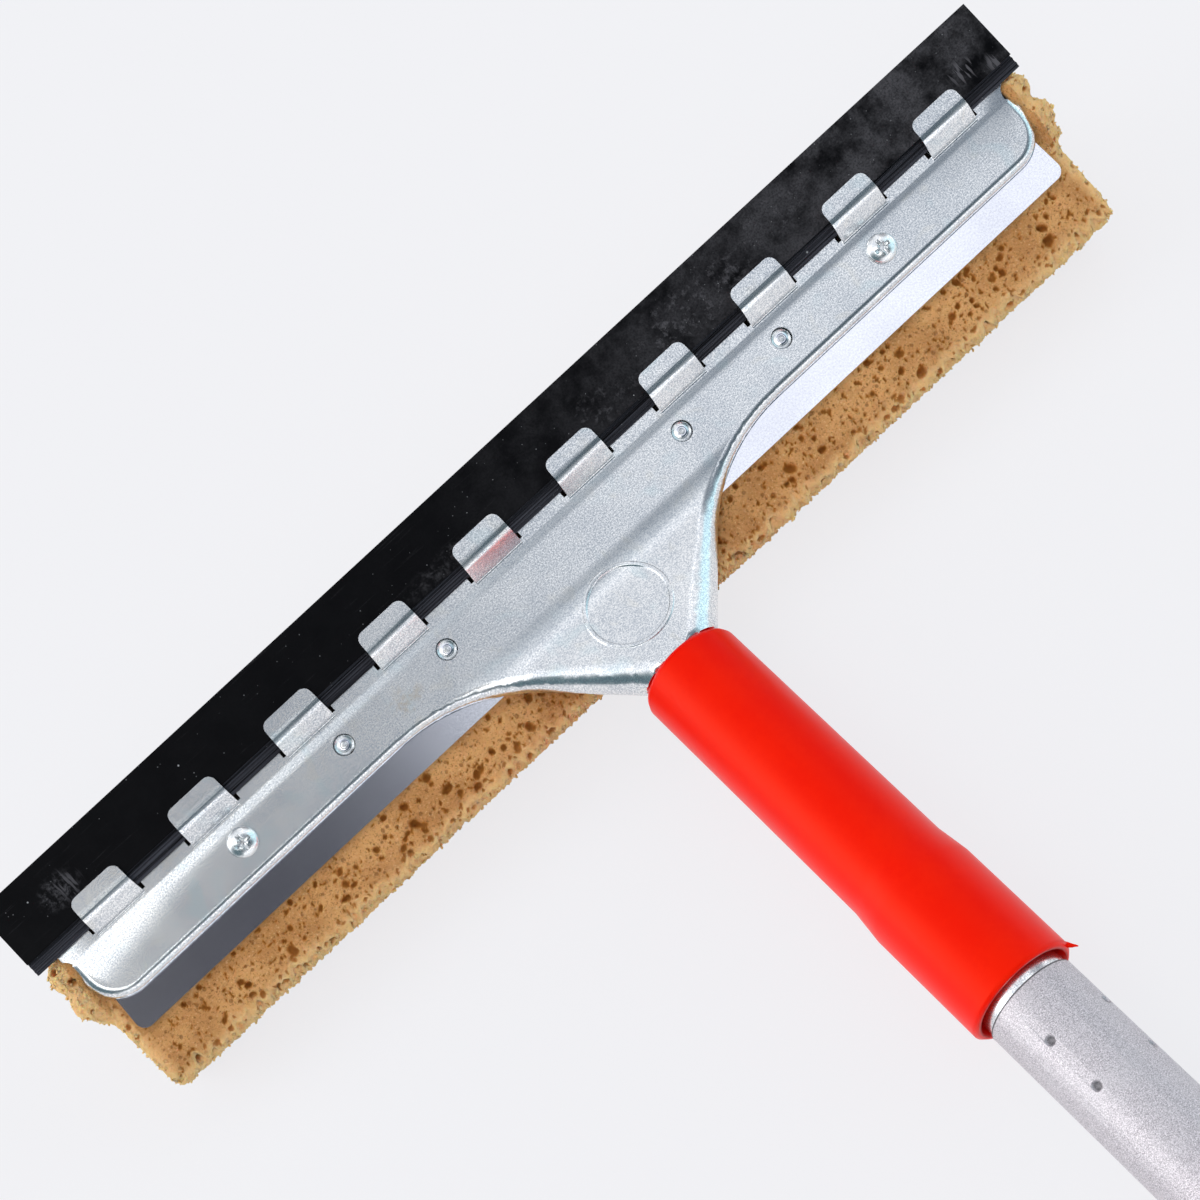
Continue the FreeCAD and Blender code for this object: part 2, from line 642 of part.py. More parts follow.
def sponge():
    """Slab under the clamp plate, folded up round its front edge and squeezed between the plates."""
    front, rear = SPONGE_HALF, SPONGE_HALF - SPONGE_TAPER
    outline = [(-front, SPONGE_FRONT), (front, SPONGE_FRONT), (rear, SPONGE_REAR), (-rear, SPONGE_REAR)]
    slab = plan_prism(outline, SPONGE_BOTTOM, CLAMP_BOTTOM, [SPONGE_ROUND] * 4)
    slab = fillet_where(slab, SPONGE_ROUND, lambda edge: all(near(v.Point.z, SPONGE_BOTTOM)
                                                             for v in edge.Vertexes))
    fold_front, fold_low = SPONGE_FRONT + OVERLAP, CLAMP_BOTTOM - SPONGE_ROUND
    fold = side_prism([(fold_front, fold_low), (fold_front, STRIP_BOTTOM), (CLAMP_FRONT, STRIP_BOTTOM),
                       (CLAMP_FRONT, fold_low)], -LEAF_HALF, LEAF_HALF)
    leaf_front, fold_top = PANEL_FRONT + SHEET + OVERLAP, CLAMP_TOP - OVERLAP
    inside = CLAMP_FRONT - OVERLAP
    leaf = side_prism([(inside, STRIP_BOTTOM), (leaf_front, STRIP_BOTTOM), (leaf_front, -SHEET),
                       (LEAF_REAR, -SHEET), (LEAF_REAR, CLAMP_TOP), (CLAMP_FRONT, CLAMP_TOP),
                       (CLAMP_FRONT, fold_top), (inside, fold_top)],
                      -LEAF_HALF, LEAF_HALF)
    side, corner = LEAF_HALF - RIM_RADIUS, CORNER_RADIUS - SHEET
    leaf = leaf.common(plan_prism([(-side, 0), (side, 0), (side, LEAF_REAR), (-side, LEAF_REAR)],
                                  CLAMP_BOTTOM, 0, [0, 0, corner, corner]))
    scale = FreeCAD.Matrix()
    scale.scale(BULGE_OUT, BULGE_LONG, BULGE_TALL)
    bulge = Part.makeSphere(1).transformGeometry(scale)
    start = PLATE_LENGTH / 2
    bulge.translate(V(start, BULGE_MIDDLE, CLAMP_TOP))
    keep = Part.makeBox(3 * BULGE_OUT, 4 * BULGE_LONG, 4 * BULGE_TALL,
                        V(start, BULGE_MIDDLE - 2 * BULGE_LONG, CLAMP_TOP - 2 * BULGE_TALL))
    bulge = bulge.common(keep)
    root = Part.makeBox(BULGE_OUT, BULGE_LONG, CLAMP_SHEET + OVERLAP,
                        V(start - BULGE_OUT / 2, BULGE_MIDDLE - BULGE_LONG / 2, CLAMP_BOTTOM - OVERLAP))
    root = root.cut(clamp_plate())
    whole = slab.fuse([fold, leaf, bulge, mirrored(bulge), root, mirrored(root)])
    pockets = []
    for x in (-SCREW_PLACE, SCREW_PLACE):
        low = CLAMP_BOTTOM - NUT_HEIGHT - SCREW_TAIL - POCKET_GAP
        pockets.append(hole(x, SCREW_ROW, NUT_FLATS / math.sqrt(3) + POCKET_GAP, low, CLAMP_BOTTOM))
        pockets.append(hole(x, SCREW_ROW, SCREW_RADIUS + SCREW_HOLE_GAP, CLAMP_BOTTOM, SHEET))
    pockets += [hole(x, PIP_ROW, PIP_HOLE_RADIUS + POCKET_GAP, CLAMP_TOP, SHEET) for x in PIP_PLACES]
    return whole.cut(pockets).removeSplitter()


# Sleeve, pole and its lock, all along the pole's axis

def sleeve():
    step = SLEEVE_LENGTH - SLEEVE_END_LENGTH
    bore_step = SLEEVE_LENGTH - SLEEVE_END_BORE_DEPTH
    outline = [
        (0, STEM_RADIUS), (0, SLEEVE_RADIUS - SLEEVE_LIP),
        (SLEEVE_LIP * LIP_SHARE, SLEEVE_RADIUS - SLEEVE_LIP * LIP_SHARE),
        (SLEEVE_LIP, SLEEVE_RADIUS), (step - SLEEVE_STEP, SLEEVE_RADIUS), (step, SLEEVE_END_RADIUS),
        (SLEEVE_LENGTH - SLEEVE_EDGE, SLEEVE_END_RADIUS), (SLEEVE_LENGTH, SLEEVE_END_RADIUS - SLEEVE_EDGE),
        (SLEEVE_LENGTH, SLEEVE_END_BORE), (bore_step, STEM_RADIUS),
    ]
    return on_pole(turned(outline))


def upper_pole():
    tube = rod(POLE_RADIUS, MOUTH, POLE_END)
    bore = rod(POLE_BORE, MOUTH - OVERLAP, POLE_END + OVERLAP)
    shell = tube.cut(bore)
    for row in CRIMP_ROWS:
        for index in range(CRIMP_COUNT):
            dent = ball(row, index, POLE_WALL).common(bore)
            shell = shell.fuse(dent).cut(ball(row, index))
    return on_pole(shell)


def guide_bush():
    """Plastic bush plugged into the pole's hidden end; it slides in the lower tube."""
    start, end = POLE_END - BUSH_SPIGOT, POLE_END + BUSH_LENGTH
    outer, bore = TUBE_BORE - RUNNING_GAP, POLE_BORE - BUSH_WALL
    outline = [
        (start, POLE_BORE), (POLE_END, POLE_BORE), (POLE_END, outer), (end - BUSH_EDGE, outer),
        (end, outer - BUSH_EDGE), (end, bore), (start, bore),
    ]
    return on_pole(turned(outline))


def lower_tube():
    tube = rod(TUBE_RADIUS, TUBE_START, TUBE_END)
    return on_pole(tube.cut(rod(TUBE_BORE, TUBE_START - OVERLAP, TUBE_END + OVERLAP)))


def collet():
    """Split collet: a seat on the lower tube's mouth and sprung fingers round the pole."""
    bore = POLE_RADIUS + RUNNING_GAP
    start = TUBE_START - FINGER_LENGTH
    outline = [
        (start, bore), (start, FINGER_TIP_RADIUS), (TUBE_START - FINGER_ROOT, FINGER_RADIUS),
        (TUBE_START, FINGER_RADIUS), (TUBE_START, COLLET_RADIUS), (TUBE_START + COLLET_SEAT, COLLET_RADIUS),
        (TUBE_START + COLLET_SEAT, TUBE_RADIUS), (TUBE_START, TUBE_RADIUS), (TUBE_START, bore),
    ]
    body = turned(outline)
    slots = []
    for i in range(FINGER_COUNT):
        slot = Part.makeBox(FINGER_SLOT, FINGER_LENGTH - FINGER_BRIDGE + OVERLAP, FINGER_RADIUS,
                            V(-FINGER_SLOT / 2, start - OVERLAP, POLE_RADIUS - OVERLAP))
        slot.rotate(ORIGIN, ALONG, 360.0 * i / FINGER_COUNT)
        slots.append(slot)
    return on_pole(body.cut(slots))


def lock_collar():
    """Fluted collar, turned by hand to close the collet on the pole."""
    end = COLLAR_START + COLLAR_LENGTH
    tip = TUBE_START - FINGER_LENGTH
    outline = [
        (COLLAR_START, POLE_RADIUS + COLLAR_MOUTH_GAP), (COLLAR_START, COLLAR_RADIUS - 2 * COLLAR_EDGE),
        (COLLAR_START + 2 * COLLAR_EDGE, COLLAR_RADIUS), (end - COLLAR_EDGE, COLLAR_RADIUS),
        (end, COLLAR_RADIUS - COLLAR_EDGE), (end, COLLET_RADIUS + COLLAR_GAP),
        (TUBE_START - COLLAR_GAP, COLLET_RADIUS + COLLAR_GAP),
        (TUBE_START - COLLAR_GAP, FINGER_RADIUS + COLLAR_GAP),
        (TUBE_START - FINGER_ROOT, FINGER_RADIUS + COLLAR_GAP),
        (tip - COLLAR_GAP, FINGER_TIP_RADIUS + COLLAR_GAP),
        (tip - COLLAR_GAP, POLE_RADIUS + COLLAR_MOUTH_GAP),
    ]
    body = turned(outline)
    reach = COLLAR_RADIUS + FLUTE_RADIUS - FLUTE_DEPTH
    flutes = []
    for i in range(FLUTE_COUNT):
        turn = 2 * math.pi * i / FLUTE_COUNT
        place = V(reach * math.sin(turn), COLLAR_START + FLUTE_START, reach * math.cos(turn))
        flutes.append(Part.makeCylinder(FLUTE_RADIUS, FLUTE_LENGTH, place, ALONG))
    return on_pole(body.cut(flutes))


def end_cap():
    """Cap over the lower tube's end, plugged inside it, with a flat eye to hang the tool by."""
    start = TUBE_END - CAP_SKIRT
    end = TUBE_END + CAP_WALL
    skirt = fillet_where(rod(CAP_RADIUS, start, end), CAP_ROUND,
                         lambda edge: all(near(v.Point.y, end) for v in edge.Vertexes))
    skirt = skirt.cut(rod(TUBE_RADIUS, start - OVERLAP, TUBE_END))
    plug = rod(TUBE_BORE, TUBE_END - CAP_PLUG, TUBE_END + OVERLAP)
    plug = plug.cut(rod(TUBE_BORE - BUSH_WALL, TUBE_END - CAP_PLUG - OVERLAP, TUBE_END))
    half, round_half = EYE_THICKNESS / 2, EYE_WIDTH / 2
    eye_end = end + EYE_LENGTH
    root = TUBE_END + OVERLAP
    corners = [V(-round_half, root, -half), V(round_half, root, -half),
               V(round_half, eye_end, -half), V(-round_half, eye_end, -half)]
    eye = prism(corners, [0, 0, round_half, round_half], V(0, 0, EYE_THICKNESS))
    eye_place = V(0, eye_end - round_half, -EYE_THICKNESS)
    eye_hole = Part.makeCylinder(EYE_RADIUS, 2 * EYE_THICKNESS, eye_place, UP)
    return on_pole(skirt.fuse([plug, eye]).cut(eye_hole))


def floor_angle():
    """Angle that lays both the sponge's rear edge and the end cap on the floor."""
    sponge_y, sponge_z = SPONGE_REAR - SPONGE_ROUND, SPONGE_BOTTOM + SPONGE_ROUND
    reach = TUBE_END + CAP_WALL - CAP_ROUND
    drop = CAP_RADIUS - CAP_ROUND
    cap_y = RIM_PLACE + reach * math.cos(ANGLE) + drop * math.sin(ANGLE)
    cap_z = RIM_HEIGHT + reach * math.sin(ANGLE) - drop * math.cos(ANGLE)
    run, rise = cap_y - sponge_y, cap_z - sponge_z
    return math.atan2(rise, run) + math.asin((SPONGE_ROUND - CAP_ROUND) / math.hypot(run, rise))


def build():
    plate = head_plate()
    return {
        "head_plate": plate,
        "rubber_blade": rubber_blade(),
        "clamp_plate": clamp_plate(),
        "sponge": sponge(),
        "screw_left": screw(SCREW_PLACE),
        "screw_right": screw(-SCREW_PLACE),
        "nut_left": nut(SCREW_PLACE),
        "nut_right": nut(-SCREW_PLACE),
        "stem_sleeve": sleeve(),
        "upper_pole": upper_pole(),
        "guide_bush": guide_bush(),
        "lower_tube": lower_tube(),
        "collet": collet(),
        "lock_collar": lock_collar(),
        "end_cap": end_cap(),
    }


LEAN = floor_angle()
NODES = build()
for piece in NODES.values():
    piece.rotate(ORIGIN, ACROSS, -math.degrees(LEAN))
BOX = Part.makeCompound(list(NODES.values())).optimalBoundingBox(False)
SHIFT = V(-BOX.Center.x, -BOX.Center.y, -BOX.ZMin)


def in_row(point):
    """Where a point of the head's frame ends up once the tool lies on the floor."""
    return FreeCAD.Rotation(ACROSS, -math.degrees(LEAN)).multVec(point) + SHIFT


os.makedirs("parts", exist_ok=True)
for name, piece in NODES.items():
    piece.translate(SHIFT)
    piece.exportStep(f"parts/{name}.step")
    print(f"{name:14s} solids {len(piece.Solids)}  volume {piece.Volume:10.1f}  valid {piece.isValid()}")
print(f"box {BOX.XLength:.2f} x {BOX.YLength:.2f} x {BOX.ZLength:.2f}, lean {math.degrees(LEAN):.3f}")
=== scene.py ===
import json
import math
import random

import bmesh
import bpy
from mathutils import Matrix, Vector, kdtree, noise

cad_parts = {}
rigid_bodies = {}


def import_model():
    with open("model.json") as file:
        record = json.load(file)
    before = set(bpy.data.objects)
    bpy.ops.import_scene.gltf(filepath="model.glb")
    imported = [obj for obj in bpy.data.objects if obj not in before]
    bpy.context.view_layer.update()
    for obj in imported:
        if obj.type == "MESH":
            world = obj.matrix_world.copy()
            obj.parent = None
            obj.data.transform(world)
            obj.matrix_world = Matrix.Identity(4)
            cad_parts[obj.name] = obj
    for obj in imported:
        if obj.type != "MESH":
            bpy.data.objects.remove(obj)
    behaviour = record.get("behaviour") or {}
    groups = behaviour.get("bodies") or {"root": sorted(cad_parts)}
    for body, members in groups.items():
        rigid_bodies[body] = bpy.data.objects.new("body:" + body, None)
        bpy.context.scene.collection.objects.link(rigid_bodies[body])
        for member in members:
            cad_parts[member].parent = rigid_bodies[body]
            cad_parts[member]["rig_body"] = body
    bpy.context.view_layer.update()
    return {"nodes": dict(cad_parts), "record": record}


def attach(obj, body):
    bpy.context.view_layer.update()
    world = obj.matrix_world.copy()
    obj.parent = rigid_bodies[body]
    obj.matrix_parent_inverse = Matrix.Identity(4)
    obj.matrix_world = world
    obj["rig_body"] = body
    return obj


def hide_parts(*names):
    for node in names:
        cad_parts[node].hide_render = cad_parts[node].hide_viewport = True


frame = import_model()

MM = 0.001
LEAN = math.radians(-30.699464)      # the head leans back on the sponge's rear edge
HEAD_PLACE = Vector((0, -0.363238, 0.044579))
NECK_TURN = math.radians(30)
SLEEVE_RIM = Vector((0, 50, 3.624))
POLE_MOUTH = 109.2                   # along the pole from the sleeve's front rim

# The head's own frame: X along the blade, Y towards the pole, Z up out of the sheet, in millimetres.
HEAD = Matrix.Translation(HEAD_PLACE) @ Matrix.Rotation(LEAN, 4, "X") @ Matrix.Scale(MM, 4)
# The pole's frame: Y along the pole from the sleeve's front rim.
POLE = HEAD @ Matrix.Translation(SLEEVE_RIM) @ Matrix.Rotation(NECK_TURN, 4, "X")


# Small helpers for shader trees

def put(tree, kind, settings=None, **links):
    """A node with its properties or socket values, and sockets fed by other nodes' outputs."""
    node = tree.nodes.new(kind)
    for key, value in (settings or {}).items():
        if isinstance(key, int) or key in node.inputs:
            node.inputs[key].default_value = value
        else:
            setattr(node, key, value)
    for key, source in links.items():
        tree.links.new(source, node.inputs[key.replace("_", " ")])
    return node


def calc(tree, operation, a, b=None, clamp=False):
    node = tree.nodes.new("ShaderNodeMath")
    node.operation = operation
    node.use_clamp = clamp
    for socket, value in zip(node.inputs, (a, b)):
        if value is None:
            continue
        if isinstance(value, (int, float)):
            socket.default_value = value
        else:
            tree.links.new(value, socket)
    return node.outputs[0]


def remap(tree, value, low, high, new_low=0.0, new_high=1.0, smooth=True):
    node = put(tree, "ShaderNodeMapRange", {"From Min": low, "From Max": high,
                                            "To Min": new_low, "To Max": new_high})
    node.interpolation_type = "SMOOTHSTEP" if smooth else "LINEAR"
    tree.links.new(value, node.inputs["Value"])
    return node.outputs[0]


def blend_colour(tree, share, first, second):
    node = tree.nodes.new("ShaderNodeMix")
    node.data_type = "RGBA"
    for socket, value in ((node.inputs[0], share), (node.inputs[6], first), (node.inputs[7], second)):
        if isinstance(value, tuple):
            socket.default_value = (*value, 1.0)
        elif isinstance(value, (int, float)):
            socket.default_value = value
        else:
            tree.links.new(value, socket)
    return node.outputs[2]


FLOAT, VECTOR = "NodeSocketFloat", "NodeSocketVector"


def vector_calc(tree, operation, a, b):
    node = put(tree, "ShaderNodeVectorMath", {"operation": operation})
    for socket, value in zip(node.inputs, (a, b)):
        if isinstance(value, tuple):
            socket.default_value = value
        else:
            tree.links.new(value, socket)
    return node.outputs[0]


def reach_share(tree, place, middle, reach):
    """Distance from the middle of a patch, as a share of how far the patch reaches each way."""
    share = vector_calc(tree, "DIVIDE", vector_calc(tree, "SUBTRACT", place, middle), reach)
    length = put(tree, "ShaderNodeVectorMath", {"operation": "LENGTH"})
    tree.links.new(share, length.inputs[0])
    return length.outputs["Value"]


def new_group(name, takes, gives):
    """An empty node group; returns its tree and the nodes for what it takes and gives."""
    tree = bpy.data.node_groups.new(name, "ShaderNodeTree")
    for side, sockets in (("INPUT", takes), ("OUTPUT", gives)):
        for socket, kind in sockets.items():
            tree.interface.new_socket(socket, in_out=side, socket_type=kind)
    return tree, tree.nodes.new("NodeGroupInput"), tree.nodes.new("NodeGroupOutput")


def use(tree, group, settings=None, **links):
    node = tree.nodes.new("ShaderNodeGroup")
    node.node_tree = group
    for key, value in (settings or {}).items():
        node.inputs[key].default_value = value
    for key, source in links.items():
        tree.links.new(source, node.inputs[key])
    return node


# Effects that several materials share. Every Size, Lump and Radius is in millimetres.

def grain_group():
    """Cloudy noise whose lumps are about Size across."""
    tree, given, out = new_group("cloudy_grain", {"Place": VECTOR, "Size": FLOAT, "Detail": FLOAT,
                                                  "Roughness": FLOAT, "Twist": FLOAT}, {"Value": FLOAT})
    cloud = put(tree, "ShaderNodeTexNoise", Vector=given.outputs["Place"], Detail=given.outputs["Detail"],
                Roughness=given.outputs["Roughness"], Distortion=given.outputs["Twist"])
    tree.links.new(calc(tree, "DIVIDE", 1.0, given.outputs["Size"]), cloud.inputs["Scale"])
    tree.links.new(cloud.outputs[0], out.inputs["Value"])
    return tree


def specks_group():
    """Scattered round specks: a share of cells about Size apart each hold one."""
    tree, given, out = new_group("scattered_specks", {"Place": VECTOR, "Size": FLOAT, "Share": FLOAT,
                                                      "Radius": FLOAT}, {"Mask": FLOAT})
    cells = put(tree, "ShaderNodeTexVoronoi", {"Randomness": 1.0}, Vector=given.outputs["Place"])
    tree.links.new(calc(tree, "DIVIDE", 1.0, given.outputs["Size"]), cells.inputs["Scale"])
    lot = put(tree, "ShaderNodeSeparateColor", Color=cells.outputs["Color"])
    chosen = calc(tree, "LESS_THAN", lot.outputs[0], given.outputs["Share"])
    reach = calc(tree, "MULTIPLY", given.outputs["Radius"], calc(tree, "ADD", lot.outputs[1], 0.4))
    near = calc(tree, "SUBTRACT", 1.0, calc(tree, "DIVIDE", cells.outputs["Distance"], reach), clamp=True)
    sharp = calc(tree, "MULTIPLY", near, 2.5, clamp=True)
    tree.links.new(calc(tree, "MULTIPLY", sharp, chosen), out.inputs["Mask"])
    return tree


def smear_group():
    """A soft patch round a place: Fade is the whole patch, Mask is broken up by noise."""
    tree, given, out = new_group("soft_smear", {"Place": VECTOR, "Middle": VECTOR, "Reach": VECTOR,
                                                "Lump": FLOAT}, {"Mask": FLOAT, "Fade": FLOAT})
    lumps = put(tree, "ShaderNodeTexNoise", {"Detail": 5.0, "Roughness": 0.7, "Distortion": 0.25},
                Vector=given.outputs["Place"])
    tree.links.new(calc(tree, "DIVIDE", 1.0, given.outputs["Lump"]), lumps.inputs["Scale"])
    broken = remap(tree, lumps.outputs[0], 0.42, 0.68)
    away = reach_share(tree, given.outputs["Place"], given.outputs["Middle"], given.outputs["Reach"])
    fade = remap(tree, away, 1.0, 0.35)
    tree.links.new(calc(tree, "MULTIPLY", broken, fade), out.inputs["Mask"])
    tree.links.new(fade, out.inputs["Fade"])
    return tree


def wear_group():
    """Fine dust and rubbing marks that break up an even finish: a value round one half."""
    tree, given, out = new_group("handling_marks", {"Place": VECTOR, "Size": FLOAT}, {"Value": FLOAT})
    mean = None
    for detail, rough, finer, weight in ((3.0, 0.6, 1.0, 0.7), (2.0, 0.5, 12.0, 0.3)):
        marks = put(tree, "ShaderNodeTexNoise", {"Detail": detail, "Roughness": rough},
                    Vector=given.outputs["Place"])
        tree.links.new(calc(tree, "DIVIDE", finer, given.outputs["Size"]), marks.inputs["Scale"])
        part = calc(tree, "MULTIPLY", marks.outputs[0], weight)
        mean = part if mean is None else calc(tree, "ADD", mean, part)
    tree.links.new(mean, out.inputs["Value"])
    return tree


GRAIN = grain_group()
SPECKS = specks_group()
SMEAR = smear_group()
WEAR = wear_group()


def grain(tree, place, size, detail=2.0, rough=0.5, twist=0.0):
    settings = {"Size": size, "Detail": detail, "Roughness": rough, "Twist": twist}
    return use(tree, GRAIN, settings, Place=place).outputs[0]


def specks(tree, place, size, share, radius):
    return use(tree, SPECKS, {"Size": size, "Share": share, "Radius": radius}, Place=place).outputs[0]


def smear(tree, place, middle, reach, lump_size=60.0):
    return use(tree, SMEAR, {"Middle": middle, "Reach": reach, "Lump": lump_size}, Place=place).outputs


def new_material(name, **sockets):
    """Material with a Principled shader; returns it, its tree, the shader and the head-frame place."""
    material = bpy.data.materials.new(name)
    material.use_nodes = True
    tree = material.node_tree
    shader = tree.nodes["Principled BSDF"]
    for key, value in sockets.items():
        shader.inputs[key.replace("_", " ")].default_value = value
    points = put(tree, "ShaderNodeTexCoord")
    mapping = put(tree, "ShaderNodeMapping", {"vector_type": "TEXTURE", "Location": tuple(HEAD_PLACE),
                                              "Rotation": (LEAN, 0, 0), "Scale": (MM, MM, MM)},
                  Vector=points.outputs["Object"])
    return material, tree, shader, mapping.outputs[0]


def bump(tree, shader, height, distance, strength=1.0):
    node = put(tree, "ShaderNodeBump", {"Distance": distance, "Strength": strength}, Height=height)
    tree.links.new(node.outputs[0], shader.inputs["Normal"])


# Materials

PLATE_REAR = 19.2            # the bar's rear edge
RIM_DEPTH = 3.2
RIM_CLIMB = 0.2036           # the rim's bottom edge rises this much per millimetre along the neck
# Where the painted highlight along the rim's bottom edge starts and ends, along Y.
HIGHLIGHT_FRONT, HIGHLIGHT_REAR = 6.0, 48.5


def rim_edge_highlight(tree, place):
    """Mask of a painted highlight along the bottom of the head plate's turned-down rim."""
    parts = put(tree, "ShaderNodeSeparateXYZ", Vector=place)
    past_bar = calc(tree, "MAXIMUM", calc(tree, "SUBTRACT", parts.outputs["Y"], PLATE_REAR), 0.0)
    line = calc(tree, "SUBTRACT", calc(tree, "MULTIPLY", past_bar, RIM_CLIMB), RIM_DEPTH)
    above = calc(tree, "SUBTRACT", parts.outputs["Z"], line)
    behind = remap(tree, parts.outputs["Y"], HIGHLIGHT_FRONT, HIGHLIGHT_FRONT + 1.0)
    ahead = remap(tree, parts.outputs["Y"], HIGHLIGHT_REAR, HIGHLIGHT_REAR - 0.5)
    return calc(tree, "MULTIPLY", calc(tree, "MULTIPLY", remap(tree, above, 0.75, 0.35), behind), ahead)


def zinc_material():
    """Zinc plating on pressed sheet: a fine sparkling mottle, soft clouds, faint tints and a painted
    highlight along the rim's bottom edge.
    """
    dull, bright = (0.50, 0.54, 0.59), (0.99, 0.99, 0.98)
    straw, sea_green, dried_water = (0.86, 0.80, 0.66), (0.60, 0.76, 0.80), (0.62, 0.55, 0.45)
    dirt, painted_edge_highlight = (0.30, 0.29, 0.28), (1.0, 1.0, 0.98)
    material, tree, shader, place = new_material("zinc_plating", Metallic=1.0)
    fine = grain(tree, place, 0.36, 1.0, 0.7)
    coarse = grain(tree, place, 1.1, 2.0, 0.6)
    cloud = grain(tree, place, 15.0, 3.0, 0.55, 0.4)
    mottle = calc(tree, "ADD", calc(tree, "MULTIPLY", fine, 0.85), calc(tree, "MULTIPLY", coarse, 0.15))
    share = calc(tree, "ADD", remap(tree, mottle, 0.36, 0.64, 0.0, 0.8, False),
                 remap(tree, cloud, 0.35, 0.65, 0.0, 0.2), clamp=True)
    colour = blend_colour(tree, share, dull, bright)
    warm = remap(tree, grain(tree, place, 6.0, 2.0, 0.5, 0.8), 0.58, 0.74, 0.0, 0.18)
    colour = blend_colour(tree, warm, colour, straw)
    cool = remap(tree, grain(tree, place, 9.0, 2.0, 0.5, 0.6), 0.56, 0.74, 0.0, 0.3)
    colour = blend_colour(tree, cool, colour, sea_green)
    stain = smear(tree, place, (50, 12, 0), (6, 4, 6), 2.2)["Mask"]
    colour = blend_colour(tree, calc(tree, "MULTIPLY", stain, 0.8), colour, dried_water)
    spots = specks(tree, place, 7.0, 0.3, 0.04)
    colour = blend_colour(tree, calc(tree, "MULTIPLY", spots, 0.5), colour, dirt)
    # Painted highlight along the bottom edge of the turned-down rim.
    colour = blend_colour(tree, rim_edge_highlight(tree, place), colour, painted_edge_highlight)
    tree.links.new(colour, shader.inputs["Base Color"])
    tree.links.new(remap(tree, mottle, 0.3, 0.7, 0.27, 0.19, False), shader.inputs["Roughness"])
    bump(tree, shader, fine, 0.00001, 0.15)
    return material


def clamp_material():
    """Plain rolled sheet of the clamp plate: smoother, faintly lavender."""
    shaded, pale = (0.72, 0.73, 0.80), (0.90, 0.91, 0.97)
    material, tree, shader, place = new_material("rolled_sheet", Metallic=1.0)
    fine = grain(tree, place, 0.45, 2.0, 0.7)
    cloud = grain(tree, place, 22.0, 2.0, 0.5)
    share = calc(tree, "ADD", remap(tree, fine, 0.35, 0.65, 0.0, 0.6, False),
                 remap(tree, cloud, 0.35, 0.65, 0.0, 0.4), clamp=True)
    colour = blend_colour(tree, share, shaded, pale)
    tree.links.new(colour, shader.inputs["Base Color"])
    tree.links.new(remap(tree, fine, 0.3, 0.7, 0.15, 0.11, False), shader.inputs["Roughness"])
    bump(tree, shader, fine, 0.000005, 0.1)
    return material


# Patches on the rubber, each with its middle, how far it reaches each way, then its lumps' size or its
# strokes' slant in degrees, and its strength.
CHALK_SMEARS = (
    ((-58, -9, 0), (30, 9, 8), 2.2, 0.8), ((-84, -12, 0), (16, 7, 8), 1.8, 0.8),
    ((-28, -6, 0), (18, 7, 8), 2.0, 0.5), ((134, -9, 0), (7, 5, 6), 1.2, 0.8),
    ((20, -4, 0), (22, 4, 8), 2.0, 0.35),
)
RUBBED_STROKES = (
    ((-139, -6.5, 0), (5.5, 4.5, 6), 20.0, 0.95), ((-146, -3.0, 0), (3.0, 3.5, 6), 35.0, 0.9),
    ((-128, -4.5, 0), (4.0, 3.0, 6), 12.0, 0.6), ((132, -9, 0), (5, 5, 6), -25.0, 0.7),
)


def chalk_veil(tree, place, lint):
    """How much pale dust lies on the rubber: a haze, smears, long streaks and short slanted strokes."""
    parts = put(tree, "ShaderNodeSeparateXYZ", Vector=place)
    haze = remap(tree, grain(tree, place, 9.0, 5.0, 0.7), 0.30, 0.68)
    rubbed = remap(tree, parts.outputs["X"], 20.0, -130.0, 0.02, 0.75, False)
    veil = calc(tree, "MULTIPLY", haze, rubbed)
    for middle, reach, lump_size, strength in CHALK_SMEARS:
        one = smear(tree, place, middle, reach, lump_size)["Mask"]
        veil = calc(tree, "MAXIMUM", veil, calc(tree, "MULTIPLY", one, strength))
    stretched = put(tree, "ShaderNodeMapping", {"Scale": (0.05, 1.3, 1.3)}, Vector=place)
    streaks = remap(tree, grain(tree, stretched.outputs[0], 1.0, 3.0, 0.6), 0.60, 0.74, 0.0, 0.25)
    veil = calc(tree, "MAXIMUM", veil, calc(tree, "MULTIPLY", streaks, lint))
    veil = calc(tree, "MULTIPLY", veil, remap(tree, lint, 0.3, 0.6, 0.45, 1.0))
    for middle, reach, slant, strength in RUBBED_STROKES:
        slanted = put(tree, "ShaderNodeMapping", {"Rotation": (0, 0, math.radians(slant)),
                                                  "Scale": (1.1, 0.16, 0.16)}, Vector=place)
        strokes = remap(tree, grain(tree, slanted.outputs[0], 1.0, 2.0, 0.5), 0.53, 0.60)
        inside = calc(tree, "MULTIPLY", strokes, smear(tree, place, middle, reach)["Fade"])
        veil = calc(tree, "MAXIMUM", veil, calc(tree, "MULTIPLY", inside, strength))
    return veil


def flange_ribs(tree, place):
    """Mask of the rubber's thin flange behind the blade, and the lighter ribs along it."""
    parts = put(tree, "ShaderNodeSeparateXYZ", Vector=place)
    lines = put(tree, "ShaderNodeMapping", {"Scale": (0.012, 2.6, 0.0)}, Vector=place)
    ridges = remap(tree, grain(tree, lines.outputs[0], 1.0, 2.0, 0.6), 0.36, 0.66, 0.0, 1.0, False)
    band = calc(tree, "MULTIPLY", remap(tree, parts.outputs["Y"], -1.95, -1.75),
                remap(tree, parts.outputs["Z"], 1.3, 1.1))
    return band, ridges


